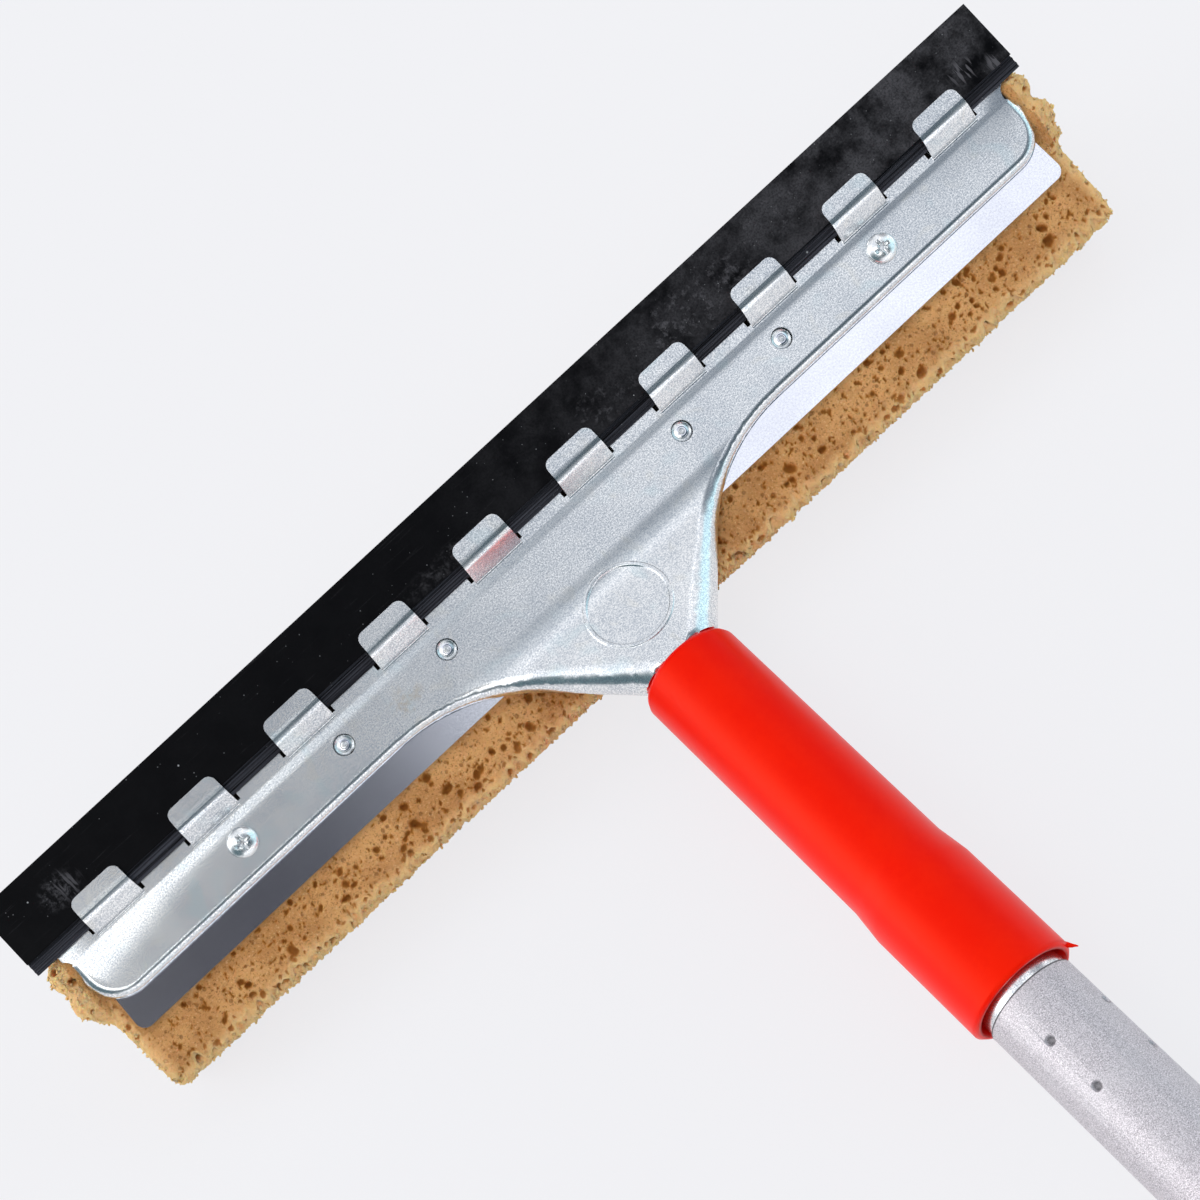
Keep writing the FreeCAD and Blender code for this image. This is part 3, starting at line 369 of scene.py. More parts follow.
def rubber_material():
    """Near-black rubber with dust specks, chalky smears and rubbed streaks; a paler ribbed rear edge."""
    black, chalk = (0.0022, 0.0022, 0.003), (0.105, 0.10, 0.108)
    groove, rib, dust_grey = (0.004, 0.004, 0.005), (0.075, 0.075, 0.09), (0.40, 0.40, 0.41)
    material, tree, shader, place = new_material("blade_rubber", Specular_IOR_Level=0.05)
    dust = specks(tree, place, 1.3, 0.4, 0.10)
    flecks = specks(tree, place, 5.0, 0.4, 0.045)
    lint = grain(tree, place, 0.5, 3.0, 0.7)
    veil = chalk_veil(tree, place, lint)
    colour = blend_colour(tree, veil, black, chalk)
    band, ridges = flange_ribs(tree, place)
    colour = blend_colour(tree, band, colour, blend_colour(tree, ridges, groove, rib))
    dots = calc(tree, "MAXIMUM", calc(tree, "MULTIPLY", dust, 0.35), calc(tree, "MULTIPLY", flecks, 0.8))
    colour = blend_colour(tree, dots, colour, dust_grey)
    tree.links.new(colour, shader.inputs["Base Color"])
    tree.links.new(remap(tree, veil, 0.0, 0.6, 0.42, 0.75), shader.inputs["Roughness"])
    bump(tree, shader, calc(tree, "ADD", dots, lint), 0.00003, 0.4)
    return material


# Painted shade on the foam in the gap between the plates' front edges, where the sponge is squeezed.
GAP_REAR, GAP_BOTTOM, GAP_HALF = 7.0, -7.0, 143.2


def painted_gap_shade(tree, place):
    """Mask of the foam in the gap in front of the clamp plate, which gets painted shade."""
    parts = put(tree, "ShaderNodeSeparateXYZ", Vector=place)
    out_from_middle = calc(tree, "ABSOLUTE", parts.outputs["X"])
    between_ends = remap(tree, out_from_middle, GAP_HALF + 0.4, GAP_HALF - 0.4)
    in_height = remap(tree, parts.outputs["Z"], GAP_BOTTOM - 1.0, GAP_BOTTOM + 1.0)
    in_front = remap(tree, parts.outputs["Y"], GAP_REAR + 0.5, GAP_REAR - 0.5)
    return calc(tree, "MULTIPLY", in_front, calc(tree, "MULTIPLY", in_height, between_ends))


def sponge_material():
    """Tan foam: pores, pinholes and the squeezed gap darkened with painted shade, fibre grain with painted
    shadow, and paler torn edges that are partly painted glow.
    """
    tan, light_tan, torn_foam_glow = (0.62, 0.300, 0.108), (0.80, 0.425, 0.168), (1.0, 0.60, 0.27)
    shadow, fluff, pinhole_shade = (0.30, 0.125, 0.035), (0.95, 0.68, 0.38), (0.28, 0.11, 0.03)
    pore_wall_shade, pore_floor_shade = (0.62, 0.24, 0.050), (0.34, 0.115, 0.018)
    gap_shade = (0.015, 0.012, 0.010)
    material, tree, shader, place = new_material("sponge_foam", Roughness=0.95, Specular_IOR_Level=0.1,
                                                 Subsurface_Weight=0.5, Subsurface_Scale=0.003,
                                                 Subsurface_Radius=(1.0, 0.55, 0.25))
    pore = put(tree, "ShaderNodeAttribute", {"attribute_name": "pore"}).outputs["Fac"]
    torn_glow = put(tree, "ShaderNodeAttribute", {"attribute_name": "torn_glow"}).outputs["Fac"]
    cloud = grain(tree, place, 11.0, 3.0, 0.6)
    fibre = grain(tree, place, 0.6, 4.0, 0.75)
    colour = blend_colour(tree, remap(tree, cloud, 0.35, 0.65), tan, light_tan)
    tufts = calc(tree, "MULTIPLY", grain(tree, place, 2.5), 0.5)
    # Paler torn edges: partly the torn skin's own colour, partly painted glow of light through the thin foam.
    pale = remap(tree, calc(tree, "ADD", torn_glow, tufts), 0.45, 1.15)
    colour = blend_colour(tree, pale, colour, torn_foam_glow)
    sound = remap(tree, torn_glow, 0.1, 0.7, 1.0, 0.25)
    shade = calc(tree, "MULTIPLY", remap(tree, fibre, 0.47, 0.35, 0.0, 0.75), sound)
    colour = blend_colour(tree, shade, colour, shadow)
    colour = blend_colour(tree, remap(tree, fibre, 0.56, 0.70, 0.0, 0.6), colour, fluff)
    # Painted shade in the fine pinholes, which the bump also presses in.
    pins = specks(tree, place, 1.5, 0.5, 0.3)
    pinhole_shade_mask = calc(tree, "MULTIPLY", pins, calc(tree, "MULTIPLY", sound, 0.6))
    colour = blend_colour(tree, pinhole_shade_mask, colour, pinhole_shade)
    # Painted shade in the pores, darkest at their floors.
    colour = blend_colour(tree, remap(tree, pore, 0.02, 0.5, 0.0, 0.75), colour, pore_wall_shade)
    deep_pore_shade = calc(tree, "MULTIPLY", remap(tree, pore, 0.3, 1.0, 0.0, 0.85), sound)
    colour = blend_colour(tree, deep_pore_shade, colour, pore_floor_shade)
    # Painted shade in the gap in front of the clamp plate.
    colour = blend_colour(tree, painted_gap_shade(tree, place), colour, gap_shade)
    tree.links.new(colour, shader.inputs["Base Color"])
    height = calc(tree, "SUBTRACT", fibre, calc(tree, "MULTIPLY", pins, 0.8))
    bump(tree, shader, height, 0.0005, 0.9)
    return material


def sleeve_material():
    """Bright red dipped plastic, slightly shiny, with faint handling marks."""
    material, tree, shader, place = new_material("red_sleeve_plastic", Specular_IOR_Level=0.6)
    shader.inputs["Specular Tint"].default_value = (1.0, 0.22, 0.06, 1.0)
    deep_red, bright_red = (0.97, 0.0015, 0.0), (1.0, 0.005, 0.0)
    marks = use(tree, WEAR, {"Size": 16.0}, Place=place).outputs[0]
    colour = blend_colour(tree, remap(tree, marks, 0.4, 0.65), deep_red, bright_red)
    tree.links.new(colour, shader.inputs["Base Color"])
    tree.links.new(remap(tree, marks, 0.3, 0.7, 0.34, 0.44), shader.inputs["Roughness"])
    bump(tree, shader, grain(tree, place, 3.0, 2.0), 0.00004, 0.3)
    return material


CRIMP_TOP, CRIMP_FLOOR = 10.8, 10.35        # distances from the pole's middle line


def painted_crimp_shade(tree, place):
    """Mask of painted shade in the pole's crimps and along the edge of its mouth."""
    along = put(tree, "ShaderNodeMapping", {"vector_type": "TEXTURE", "Location": tuple(SLEEVE_RIM),
                                            "Rotation": (NECK_TURN, 0, 0)}, Vector=place)
    parts = put(tree, "ShaderNodeSeparateXYZ", Vector=along.outputs[0])
    across = calc(tree, "SQRT", calc(tree, "ADD", calc(tree, "POWER", parts.outputs["X"], 2.0),
                                     calc(tree, "POWER", parts.outputs["Z"], 2.0)))
    sunk = remap(tree, across, CRIMP_TOP, CRIMP_FLOOR, 0.0, 0.7)
    lip = remap(tree, parts.outputs["Y"], POLE_MOUTH + 0.42, POLE_MOUTH + 0.22, 0.0, 0.9)
    return calc(tree, "MAXIMUM", sunk, lip)


def silver_paint_material(name, dark, light):
    """Silver paint with a fine even grain, with painted shade in the crimps and along the mouth's edge."""
    cloudy, fleck, crimp_and_gap_shade = (0.68, 0.66, 0.68), (0.08, 0.08, 0.085), (0.05, 0.05, 0.055)
    material, tree, shader, place = new_material(name, Metallic=0.45)
    flake = grain(tree, place, 0.24, 2.0, 0.8)
    cloud = grain(tree, place, 8.0, 3.0, 0.6)
    colour = blend_colour(tree, remap(tree, flake, 0.36, 0.64, 0.0, 1.0, False), dark, light)
    colour = blend_colour(tree, remap(tree, cloud, 0.4, 0.7, 0.0, 0.25), colour, cloudy)
    black = specks(tree, place, 1.6, 0.1, 0.1)
    colour = blend_colour(tree, calc(tree, "MULTIPLY", black, 0.6), colour, fleck)
    # Painted shade in the crimps and along the mouth's edge.
    colour = blend_colour(tree, painted_crimp_shade(tree, place), colour, crimp_and_gap_shade)
    tree.links.new(colour, shader.inputs["Base Color"])
    tree.links.new(remap(tree, flake, 0.3, 0.7, 0.52, 0.38, False), shader.inputs["Roughness"])
    bump(tree, shader, flake, 0.00003, 0.5)
    return material


def moulded_material(name, base, pale):
    """Moulded plastic with a faint orange peel and slightly rubbed high places."""
    material, tree, shader, place = new_material(name, Specular_IOR_Level=0.5)
    marks = use(tree, WEAR, {"Size": 10.0}, Place=place).outputs[0]
    colour = blend_colour(tree, remap(tree, marks, 0.4, 0.7), base, pale)
    tree.links.new(colour, shader.inputs["Base Color"])
    tree.links.new(remap(tree, marks, 0.3, 0.7, 0.35, 0.51), shader.inputs["Roughness"])
    bump(tree, shader, grain(tree, place, 0.9, 2.0), 0.00003, 0.35)
    return material


def screw_material():
    """Bright zinc-plated steel of the screws, the nuts and the pips' rounded tops."""
    grey, bright = (0.70, 0.73, 0.76), (0.90, 0.91, 0.90)
    material, tree, shader, place = new_material("bright_zinc", Metallic=1.0)
    fine = grain(tree, place, 0.4, 2.0, 0.6)
    colour = blend_colour(tree, remap(tree, fine, 0.35, 0.65), grey, bright)
    tree.links.new(colour, shader.inputs["Base Color"])
    tree.links.new(remap(tree, fine, 0.3, 0.7, 0.30, 0.18), shader.inputs["Roughness"])
    bump(tree, shader, fine, 0.00002, 0.4)
    return material


RED_PLASTIC = ((0.70, 0.010, 0.004), (0.80, 0.022, 0.010))
MATERIALS = {
    "zinc_sheet": zinc_material(),
    "blade_rubber": rubber_material(),
    "clamp_sheet": clamp_material(),
    "sponge_foam": sponge_material(),
    "screw_steel": screw_material(),
    "red_sleeve": sleeve_material(),
    "silver_paint": silver_paint_material("silver_pole_paint", (0.31, 0.285, 0.31), (0.86, 0.815, 0.85)),
    "tube_paint": silver_paint_material("silver_tube_paint", (0.38, 0.372, 0.40), (0.74, 0.73, 0.76)),
    "bush_plastic": moulded_material("bush_plastic", (0.02, 0.02, 0.022), (0.04, 0.04, 0.042)),
    "collet_plastic": moulded_material("collet_plastic", (0.72, 0.72, 0.69), (0.80, 0.80, 0.77)),
    "collar_plastic": moulded_material("collar_plastic", *RED_PLASTIC),
    "cap_plastic": moulded_material("cap_plastic", *RED_PLASTIC),
}


# Pieces

EVEN_WITHIN = math.radians(0.1)
SHARP_FROM = math.radians(35.0)


def finish_piece(piece, body, slot):
    """Give a piece the material named by its slot, and the body it moves with."""
    piece.data.materials.clear()
    piece.data.materials.append(MATERIALS[slot])
    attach(piece, body)


def add_piece(shape, name):
    """An object with a bmesh's shape, shaded smooth."""
    for face in shape.faces:
        face.smooth = True
    mesh = bpy.data.meshes.new(name)
    shape.to_mesh(mesh)
    shape.free()
    piece = bpy.data.objects.new(name, mesh)
    bpy.context.scene.collection.objects.link(piece)
    return piece


def join_flats(shape):
    """Make one face of the triangles that share a flat of the sheet, so that its shading stays even."""
    ways = [placed.to_3x3().col[2].normalized() for placed in (HEAD, POLE)]
    ways += [-way for way in ways]
    flats = []
    for edge in shape.edges:
        sides = [face.normal for face in edge.link_faces]
        if len(sides) == 2 and any(all(side.angle(way, 1.0) < EVEN_WITHIN for side in sides) for way in ways):
            flats.append(edge)
    bmesh.ops.dissolve_limit(shape, angle_limit=EVEN_WITHIN, edges=flats, verts=[])


def smooth_copy(node, slot, sheet=False, finish=None):
    """The node's own shape with its facets joined and shaded smooth between its sharp edges."""
    source = frame["nodes"][node]
    piece = bpy.data.objects.new(node + "_skin", source.data.copy())
    bpy.context.scene.collection.objects.link(piece)
    shape = bmesh.new()
    shape.from_mesh(piece.data)
    bmesh.ops.remove_doubles(shape, verts=shape.verts, dist=0.002 * MM)
    if sheet:
        join_flats(shape)
    if finish:
        finish(shape)
    for face in shape.faces:
        face.smooth = True
    shape.to_mesh(piece.data)
    shape.free()
    piece.data.set_sharp_from_angle(angle=SHARP_FROM)
    even = piece.modifiers.new("even_shading", "WEIGHTED_NORMAL")
    even.keep_sharp = True
    even.weight = 80
    finish_piece(piece, source["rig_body"], slot)
    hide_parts(node)


ROUNDEL_MIDDLE = Vector((0, 30.3, 4.548))
ROUNDEL_RADIUS = 10.5
ROUNDEL_BAND = 1.2              # how far inside the radius the rim's edges lie
ROUNDEL_SOFTNESS = 0.2


def soften_roundel(shape):
    """Round the sharp edges of the roundel's raised rim."""
    shape.normal_update()
    back = (HEAD @ Matrix.Translation(ROUNDEL_MIDDLE) @ Matrix.Rotation(NECK_TURN, 4, "X")).inverted()
    chosen = []
    for edge in shape.edges:
        spots = [back @ vert.co for vert in edge.verts]
        away = [math.hypot(spot.x, spot.y) for spot in spots]
        near_rim = all(ROUNDEL_RADIUS - ROUNDEL_BAND < reach < ROUNDEL_RADIUS + 0.2 for reach in away)
        on_top = all(-1.0 < spot.z < 2.0 for spot in spots)
        round_the_rim = abs(away[0] - away[1]) < 0.05
        if near_rim and on_top and round_the_rim and len(edge.link_faces) == 2:
            if edge.calc_face_angle() > 0.7:
                chosen.append(edge)
    bmesh.ops.bevel(shape, geom=chosen, offset=ROUNDEL_SOFTNESS * MM, segments=2, profile=0.5,
                    affect="EDGES", material=-1)


def dress_nodes():
    slots = {entry["node"]: entry["material_slot"] for entry in frame["record"]["subparts"]}
    for node, slot in slots.items():
        if node != "sponge":
            smooth_copy(node, slot, sheet=node in ("head_plate", "clamp_plate"),
                        finish=soften_roundel if node == "head_plate" else None)


def turned(outline, steps=32):
    """A solid turned round the Z axis from the (radius, height) points of its outline."""
    shape = bmesh.new()
    verts = [bmesh.ops.create_vert(shape, co=(radius, 0, height))["vert"][0] for radius, height in outline]
    edges = [shape.edges.new(pair) for pair in zip(verts, verts[1:])]
    bmesh.ops.spin(shape, geom=verts + edges, cent=(0, 0, 0), axis=(0, 0, 1), angle=2 * math.pi,
                   steps=steps, use_merge=True)
    bmesh.ops.remove_doubles(shape, verts=shape.verts, dist=1e-5)
    bmesh.ops.recalc_face_normals(shape, faces=shape.faces)
    return shape


PIP_PLACES = (-67.0, -36.0, 36.0, 67.0)
PIP_ROW = 10.0
PIP_OUTLINE = ((0, -0.31), (0.8, -0.35), (1.5, -0.48), (2.05, -0.72), (2.44, -1.05), (2.44, -1.3), (0, -1.3))


def pip_caps():
    """The rounded tops of the clamp plate's pips, filling their holes in the head plate."""
    cap = bpy.data.meshes.new("pip_cap")
    shape = turned(PIP_OUTLINE)
    shape.to_mesh(cap)
    shape.free()
    row = bmesh.new()
    for x in PIP_PLACES:
        cap.transform(Matrix.Translation((x, PIP_ROW, 0)))
        row.from_mesh(cap)
        cap.transform(Matrix.Translation((-x, -PIP_ROW, 0)))
    bpy.data.meshes.remove(cap)
    row.transform(HEAD)
    finish_piece(add_piece(row, "pip_caps"), "head", "screw_steel")


NIB_ROOT = Vector((-12.7, 105.9, 1.0))      # in the pole's frame
NIB_AIM = Vector((-0.58, 0.80, 0.10))
NIB_LENGTH = 3.0


def sleeve_nib():
    """A torn nib of plastic on the sleeve's rear edge."""
    shape = bmesh.new()
    middle = NIB_ROOT + NIB_LENGTH / 2 * NIB_AIM
    place = Matrix.Translation(middle) @ NIB_AIM.to_track_quat("Z", "Y").to_matrix().to_4x4()
    bmesh.ops.create_cone(shape, cap_ends=True, segments=12, radius1=0.75, radius2=0.12, depth=NIB_LENGTH,
                          matrix=place @ Matrix.Diagonal((1.0, 0.6, 1.0, 1.0)))
    long_edges = [edge for edge in shape.edges if edge.calc_length() > NIB_LENGTH / 1.5]
    bmesh.ops.subdivide_edges(shape, edges=long_edges, cuts=4)
    for vert in shape.verts:
        vert.co += 0.12 * noise.noise_vector(vert.co * 1.3)
    shape.transform(POLE)
    finish_piece(add_piece(shape, "sleeve_nib"), "head", "red_sleeve")


# Sponge, in the head's frame and in millimetres

SPONGE_FRONT, SPONGE_REAR = 0.6, 42.0
SPONGE_TOP, SPONGE_BOTTOM = -4.2, -28.2
SPONGE_HALF, SPONGE_TAPER = 147.2, 2.0
SPONGE_ROUND = 2.4
PLATE_END = 144.8            # the bar's end, along X
FOLD_END = 141.0             # the foam between the plates' front edges ends here
CLAMP_EDGE = 26.3            # the clamp plate's rear edge
CLAMP_END = 143.0
UNDER_BAR = -4.0             # above this height the foam is held between the bar and the clamp plate
HELD_REAR = 19.6


def block(shape, low, high):
    """A box between two corners, added to a bmesh."""
    low, high = Vector(low), Vector(high)
    size = high - low
    place = Matrix.Translation((low + high) / 2) @ Matrix.Diagonal((*size, 1))
    return bmesh.ops.create_cube(shape, size=1.0, matrix=place)["verts"]


def lump(shape, centre, reach, turn=0.0):
    place = Matrix.Translation(centre) @ Matrix.Rotation(turn, 4, "Z") @ Matrix.Diagonal((*reach, 1))
    bmesh.ops.create_icosphere(shape, subdivisions=4, radius=1.0, matrix=place)


# Runs of foam between the pips and the screws.
LEAF_RUNS = ((-FOLD_END, -102.2), (-93.4, -70.2), (-63.8, -39.2), (-32.8, 32.8),
             (39.2, 63.8), (70.2, 93.4), (102.2, FOLD_END))
# The puffed ends: which end, middle, reach each way and turn in radians.
END_LUMPS = (
    (1, (146.0, 6.0, -3.8), (4.4, 5.2, 4.2), 0.25), (1, (146.8, 12.4, -4.4), (3.9, 5.0, 3.9), -0.3),
    (1, (145.6, 2.8, -5.4), (3.4, 3.4, 3.4), 0.5), (1, (146.2, 16.0, -6.2), (2.9, 4.2, 3.4), 0.0),
    (-1, (146.3, 4.6, -3.2), (4.3, 4.2, 4.3), -0.3), (-1, (146.6, 12.6, -3.4), (4.0, 4.6, 4.3), 0.2),
    (-1, (145.8, 16.6, -5.6), (3.3, 3.8, 3.6), -0.4), (-1, (146.4, 1.8, -6.0), (2.8, 2.8, 3.2), 0.0),
)


def sponge_blank():
    """Slab, the part squeezed between the plates and the puffed ends, as overlapping shells."""
    shape = bmesh.new()
    slab = block(shape, (-SPONGE_HALF, SPONGE_FRONT, SPONGE_BOTTOM), (SPONGE_HALF, SPONGE_REAR, SPONGE_TOP))
    for vert in slab:
        if vert.co.y > SPONGE_FRONT + 1:
            vert.co.x *= (SPONGE_HALF - SPONGE_TAPER) / SPONGE_HALF
    edges = {edge for vert in slab for edge in vert.link_edges}
    low = [edge for edge in edges if not all(vert.co.z > SPONGE_TOP - 0.1 for vert in edge.verts)]
    bmesh.ops.bevel(shape, geom=low, offset=SPONGE_ROUND, segments=4, profile=0.5, affect="EDGES",
                    material=-1)
    block(shape, (-FOLD_END, 5.0, -8.0), (FOLD_END, 6.1, -1.6))
    for start, end in LEAF_RUNS:
        block(shape, (start, 5.2, -3.1), (end, 16.2, -1.4))
    for side, centre, reach, turn in END_LUMPS:
        lump(shape, (side * centre[0], *centre[1:]), reach, side * turn)
    return shape


def remeshed(shape, voxel, name):
    """One closed skin round overlapping shells."""
    rough = bpy.data.meshes.new(name + "_blank")
    shape.to_mesh(rough)
    shape.free()
    holder = bpy.data.objects.new(name + "_blank", rough)
    bpy.context.scene.collection.objects.link(holder)
    skin = holder.modifiers.new("skin", "REMESH")
    skin.mode = "VOXEL"
    skin.voxel_size = voxel
    graph = bpy.context.evaluated_depsgraph_get()
    mesh = bpy.data.meshes.new_from_object(holder.evaluated_get(graph))
    bpy.data.objects.remove(holder)
    bpy.data.meshes.remove(rough)
    return mesh


def held(point):
    """Whether the foam here is squeezed by the plates and keeps its shape."""
    x, y, z = point
    under_clamp = y < CLAMP_EDGE + 0.5 and z > SPONGE_TOP - 0.35 and abs(x) < CLAMP_END
    return under_clamp or (z > UNDER_BAR and y < HELD_REAR and abs(x) < PLATE_END + 0.15)


def rear_bites(lots):
    """Bites torn out of the free rear edge: middle along X, half width, depth, middle height, half height."""
    bites = []
    x = -SPONGE_HALF
    while x < SPONGE_HALF:
        x += lots.uniform(1.2, 4.0)
        half, depth = lots.uniform(0.7, 2.4), lots.uniform(0.6, 2.5)
        height = SPONGE_TOP if lots.random() < 0.7 else SPONGE_BOTTOM
        bites.append((x, half, depth, height, lots.uniform(1.5, 5.0)))
    return bites


SWELL, SWELL_RUN = 0.9, 14.0        # the free foam behind the clamp plate stands up a little
TORN_REAR, TORN_END = 4.5, 3.5      # how far the crumbly skin runs in from the rear edge and the ends
# The paler colour near the rear edge, the ends and the corners is partly painted glow of light through the
# thin foam.
PALE_REAR, PALE_END = 9.0, 8.0      # the same for the bites and the paler colour
PALE_CORNER = 7.0
END_FACE = SPONGE_HALF - 1.5


def nearness(distance, reach):
    """From 1 at no distance to 0 at the reach and beyond."""
    return max(0.0, 1 - distance / reach)


def edge_share(point):
    """How near the point is to the torn rear face and to an end, from 0 to 1."""
    near_end = nearness(END_FACE - abs(point[0]), TORN_END)
    return nearness(SPONGE_REAR - point[1], TORN_REAR), min(1.0, near_end)


def bitten(bites, x, z, towards_rear):
    """How deep the bites go here."""
    drop = 0.0
    for middle, half, depth, height, tall in bites if towards_rear else ():
        along, up = abs(x - middle) / half, abs(z - height) / tall
        if along < 1 and up < 1:
            drop = max(drop, towards_rear * depth * (1 - along * along) * (1 - up * up))
    return drop


def tear(verts, torn_glow, bites):
    """Ragged skin: the rear edge bitten back, the ends crumbly, the rest slightly uneven."""
    for vert in verts:
        if held(vert.co):
            continue
        x, y, z = vert.co
        near_rear, near_end = edge_share(vert.co)
        edge = max(near_rear, near_end)
        towards_rear = nearness(SPONGE_REAR - y, PALE_REAR)
        at_corner = nearness(min(abs(z - SPONGE_TOP), abs(z - SPONGE_BOTTOM)), PALE_CORNER)
        paling = max(towards_rear, 1 - (END_FACE - abs(x)) / PALE_END)
        # Paler towards the edges and corners: partly torn skin, partly painted glow of light through the thin
        # foam.
        vert[torn_glow] = min(1.0, paling ** 1.5 * (0.6 + 0.4 * at_corner) + 0.25 * edge)
        drop = bitten(bites, x, z, towards_rear)
        if near_rear:
            drop += near_rear * max(0.0, 0.7 + 1.0 * noise.fractal(vert.co * 0.5, 0.8, 2.1, 3))
        uneven = 0.22 * (1 + noise.fractal(vert.co * 0.9, 0.8, 2.1, 3))
        crumbly = edge * 0.3 * (1 + noise.noise(vert.co * 1.6))
        push = Vector((0, -drop, 0)) - vert.normal * (uneven + crumbly)
        past_clamp = y - CLAMP_EDGE - 1
        if past_clamp > 0 and z > SPONGE_TOP - 0.3:
            push.z += SWELL * math.sin(math.pi * min(1.0, past_clamp / SWELL_RUN))
        vert.co = vert.co + push
        if abs(x) > FOLD_END + 0.2 and y < HELD_REAR and vert.co.z > UNDER_BAR:
            vert.co.x = math.copysign(max(abs(vert.co.x), PLATE_END), x)


# Sizes of the pores: the share of them up to here, the least and the most radius.
PORE_KINDS = ((0.035, 0.95, 1.4), (0.2, 0.55, 0.9), (1.0, 0.34, 0.48))


def pore_radius(lots):
    kind = lots.random()
    least, most = next(sizes for share, *sizes in PORE_KINDS if kind < share)
    return lots.uniform(least, most)


def any_way(lots):
    return Vector((lots.uniform(-1, 1), lots.uniform(-1, 1), lots.uniform(-1, 1)))


def open_pores(verts, pore, lots, count, finest):
    """Press round and oval pores into the skin, deepest in the middle."""
    tree = kdtree.KDTree(len(verts))
    for index, vert in enumerate(verts):
        tree.insert(vert.co, index)
    tree.balance()
    start = [vert.co.copy() for vert in verts]
    facing = [vert.normal.copy() for vert in verts]
    dip = [0.0] * len(verts)
    for _ in range(count):
        seed = lots.randrange(len(verts))
        spot, out = start[seed], facing[seed]
        if held(spot) or lots.random() < 0.7 * max(edge_share(spot)):
            continue
        radius = max(pore_radius(lots), finest)
        depth = radius * lots.uniform(1.1, 1.8)
        long_way = any_way(lots).cross(out).normalized()
        stretch = lots.uniform(0.1, 0.7)
        for place, index, gap in tree.find_range(spot, radius * 1.3):
            if held(place):
                continue
            offset = place - spot
            along = offset.dot(long_way)
            reach = gap * gap - stretch * along * along
            share = 1 - reach / (radius * radius)
            if share > 0:
                dip[index] = max(dip[index], depth * math.sqrt(share))
                verts[index][pore] = max(verts[index][pore], min(1.0, share * 1.5))
    for index, vert in enumerate(verts):
        vert.co = start[index] - facing[index] * dip[index]


def crumbs(verts, lots, count):
    """Tiny torn tufts standing on the ragged edges."""
    shape = bmesh.new()
    edge_verts = [vert for vert in verts if max(edge_share(vert.co)) > 0.45 and not held(vert.co)]
    for _ in range(count):
        vert = lots.choice(edge_verts)
        size = lots.uniform(0.18, 0.5)
        angle = lots.uniform(0, math.pi)
        turn = Matrix.Rotation(angle, 4, Vector((lots.uniform(-1, 1), lots.uniform(-1, 1), 1)))
        place = Matrix.Translation(vert.co + vert.normal * size * lots.uniform(0.0, 0.6)) @ turn
        long, wide = size * lots.uniform(0.8, 1.9), size * lots.uniform(0.5, 1.0)
        place = place @ Matrix.Diagonal((long, wide, size, 1))
        bmesh.ops.create_icosphere(shape, subdivisions=1, radius=1.0, matrix=place)
    mesh = bpy.data.meshes.new("sponge_crumbs")
    shape.to_mesh(mesh)
    shape.free()
    return mesh


PORE_COUNT = 4600
FINE_REAR, FINE_END, FINE_TOP = 39.0, 142.0, 25.0      # finer facets start here: Y, X and, on top, Y


def in_sight(middle):
    """Whether a face with this middle may show, and so gets finer facets for its pores."""
    x, y, z = middle
    on_top = y > FINE_TOP and z > SPONGE_TOP - 2
    return not held(middle) and (y > FINE_REAR or abs(x) > FINE_END or on_top)


def sponge():
    """The torn, porous foam, in place of its plain solid."""
    lots = random.Random(7)
    coarse = 0.84
    mesh = remeshed(sponge_blank(), coarse, "sponge")
    shape = bmesh.new()
    shape.from_mesh(mesh)
    seen = [face for face in shape.faces if in_sight(face.calc_center_median())]
    seams = list({edge for face in seen for edge in face.edges})
    bmesh.ops.subdivide_edges(shape, edges=seams, cuts=1, use_grid_fill=True)
    shape.normal_update()
    torn_glow = shape.verts.layers.float.new("torn_glow")
    pore = shape.verts.layers.float.new("pore")
    verts = list(shape.verts)
    tear(verts, torn_glow, rear_bites(lots))
    shape.normal_update()
    open_pores(verts, pore, lots, PORE_COUNT, coarse * 0.45)
    tufts = crumbs(verts, lots, 2600)
    before = len(verts)
    shape.from_mesh(tufts)
    bpy.data.meshes.remove(tufts)
    for index, vert in enumerate(shape.verts):
        if index >= before:
            vert[torn_glow] = 1.0
        vert.co = HEAD @ vert.co
        vert.co.z = max(0.0, vert.co.z)
    bpy.data.meshes.remove(mesh)
    piece = add_piece(shape, "sponge_body")
    finish_piece(piece, "head", "sponge_foam")
    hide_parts("sponge")


# Stage

FLOOR_HALF = 30.0                      # metres: no view reaches past its edge
FLOOR_SHADE = (0.88, 0.88, 0.90, 1)
FLOOR_GLOW = (0.895, 0.895, 0.92, 1)
GLOW_SHARE = 0.86                      # the rest is the floor's own shade, which holds the shadow


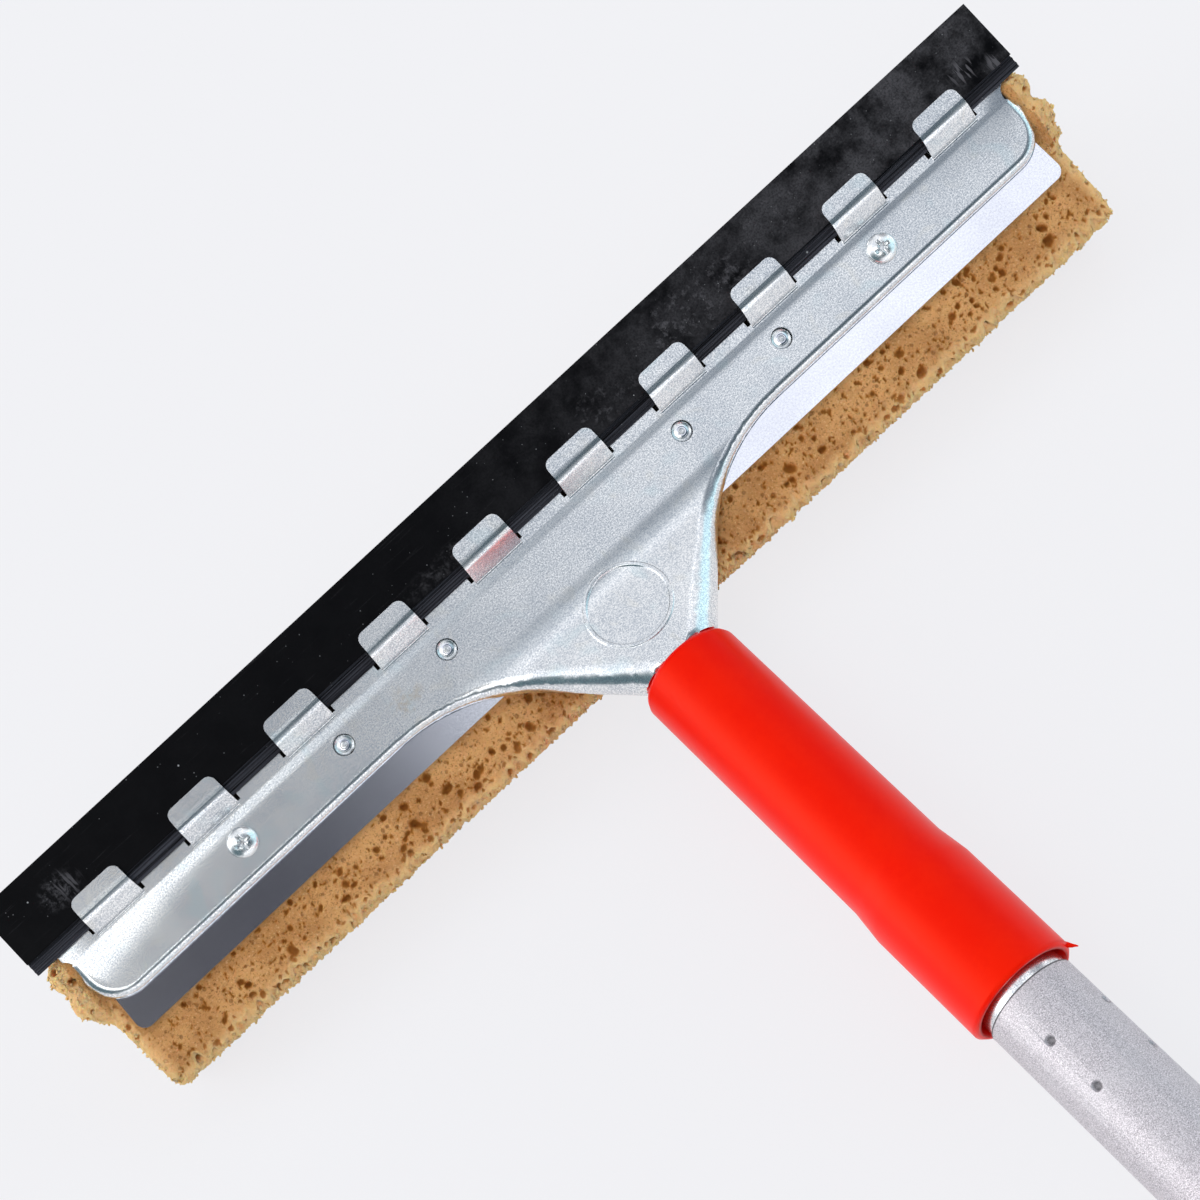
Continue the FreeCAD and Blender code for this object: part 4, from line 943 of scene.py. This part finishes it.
def floor():
    """A pale floor: cameras, metal and glass see it mostly as a plain colour."""
    material = bpy.data.materials.new("pale_floor")
    material.use_nodes = True
    tree = material.node_tree
    shader = tree.nodes["Principled BSDF"]
    for key, value in (("Base Color", FLOOR_SHADE), ("Roughness", 1.0), ("Specular IOR Level", 0.0)):
        shader.inputs[key].default_value = value
    glow = put(tree, "ShaderNodeEmission", {"Color": FLOOR_GLOW, "Strength": 1.0})
    ray = put(tree, "ShaderNodeLightPath").outputs
    seen = calc(tree, "MAXIMUM", ray["Is Camera Ray"],
                calc(tree, "MAXIMUM", ray["Is Glossy Ray"], ray["Is Transmission Ray"]))
    mix = put(tree, "ShaderNodeMixShader")
    for source, socket in ((calc(tree, "MULTIPLY", seen, GLOW_SHARE), mix.inputs[0]),
                           (shader.outputs[0], mix.inputs[1]), (glow.outputs[0], mix.inputs[2]),
                           (mix.outputs[0], tree.nodes["Material Output"].inputs[0])):
        tree.links.new(source, socket)
    shape = bmesh.new()
    bmesh.ops.create_grid(shape, x_segments=1, y_segments=1, size=FLOOR_HALF)
    piece = add_piece(shape, "floor")
    piece.data.materials.append(material)


# Light round the object, as seen from the head's top face: the middle of a patch as a direction, how far
# it reaches each way, how soft its border is, and its colour.
SKY_STRENGTH = 1.18
SKY_BASE = (1.34, 1.34, 1.38)
SKY_PATCHES = (
    ((0.00, 0.00, 1.00), (0.75, 0.75, 0.60), 0.30, (0.66, 0.70, 0.75)),
    ((0.00, -0.86, 0.50), (0.55, 0.24, 0.26), 0.35, (0.80, 0.82, 0.86)),
    ((-0.78, -0.62, 0.12), (0.34, 0.34, 0.40), 0.35, (0.36, 0.36, 0.39)),
    ((0.80, -0.60, 0.10), (0.28, 0.28, 0.40), 0.35, (2.60, 2.60, 2.60)),
    ((-0.72, 0.22, 0.50), (0.36, 0.56, 0.50), 0.35, (0.72, 1.00, 1.10)),
    ((0.74, 0.22, 0.46), (0.38, 0.52, 0.52), 0.35, (0.09, 0.15, 0.175)),
    ((0.00, -0.99, 0.06), (0.60, 0.30, 0.28), 0.25, (0.03, 0.035, 0.045)),
    ((-0.34, 0.02, 0.94), (0.34, 0.55, 0.60), 0.40, (0.15, 0.18, 0.22)),
    ((0.00, 0.46, 0.88), (0.75, 0.22, 0.50), 0.35, (0.05, 0.08, 0.10)),
    ((-0.20, -0.02, 0.98), (0.19, 0.10, 0.60), 0.30, (0.95, 0.98, 1.04)),
    ((0.30, -0.04, 0.95), (0.24, 0.36, 0.40), 0.35, (2.30, 2.30, 2.28)),
    ((0.11, -0.02, 1.00), (0.13, 0.14, 0.60), 0.25, (0.02, 0.02, 0.03)),
)


def sky():
    """The light, as soft patches of colour round the object that its metal mirrors."""
    world = bpy.data.worlds.new("studio")
    bpy.context.scene.world = world
    world.use_nodes = True
    tree = world.node_tree
    back = tree.nodes["Background"]
    points = put(tree, "ShaderNodeTexCoord")
    head_way = put(tree, "ShaderNodeMapping", {"vector_type": "TEXTURE", "Rotation": (LEAN, 0, 0)},
                   Vector=points.outputs["Generated"]).outputs[0]
    colour = SKY_BASE
    for middle, reach, soft, tint in SKY_PATCHES:
        away = reach_share(tree, head_way, middle, reach)
        colour = blend_colour(tree, remap(tree, away, 1.0 + soft, 1.0 - soft), colour, tint)
    tree.links.new(colour, back.inputs["Color"])
    back.inputs["Strength"].default_value = SKY_STRENGTH


CAMERA_PLACE = Vector((58.513, 28.939, 632.61))     # in the head's frame, in millimetres
CAMERA_TURNS = (("Z", 136.8393), ("Y", -3.4015), ("X", 3.6447))
CAMERA_LENS = 85.317


def camera():
    """Looks down on the head's top face, the blade running from lower left to upper right."""
    data = bpy.data.cameras.new("camera")
    data.sensor_width = 36.0
    data.lens = CAMERA_LENS
    data.clip_start = 0.01
    data.clip_end = 50.0
    holder = bpy.data.objects.new("camera", data)
    bpy.context.scene.collection.objects.link(holder)
    place = Matrix.Translation(HEAD @ CAMERA_PLACE) @ Matrix.Rotation(LEAN, 4, "X")
    for axis, angle in CAMERA_TURNS:
        place = place @ Matrix.Rotation(math.radians(angle), 4, axis)
    holder.matrix_world = place
    bpy.context.scene.camera = holder


dress_nodes()
pip_caps()
sleeve_nib()
sponge()
floor()
sky()
camera()
bpy.context.scene.view_settings.view_transform = "Standard"
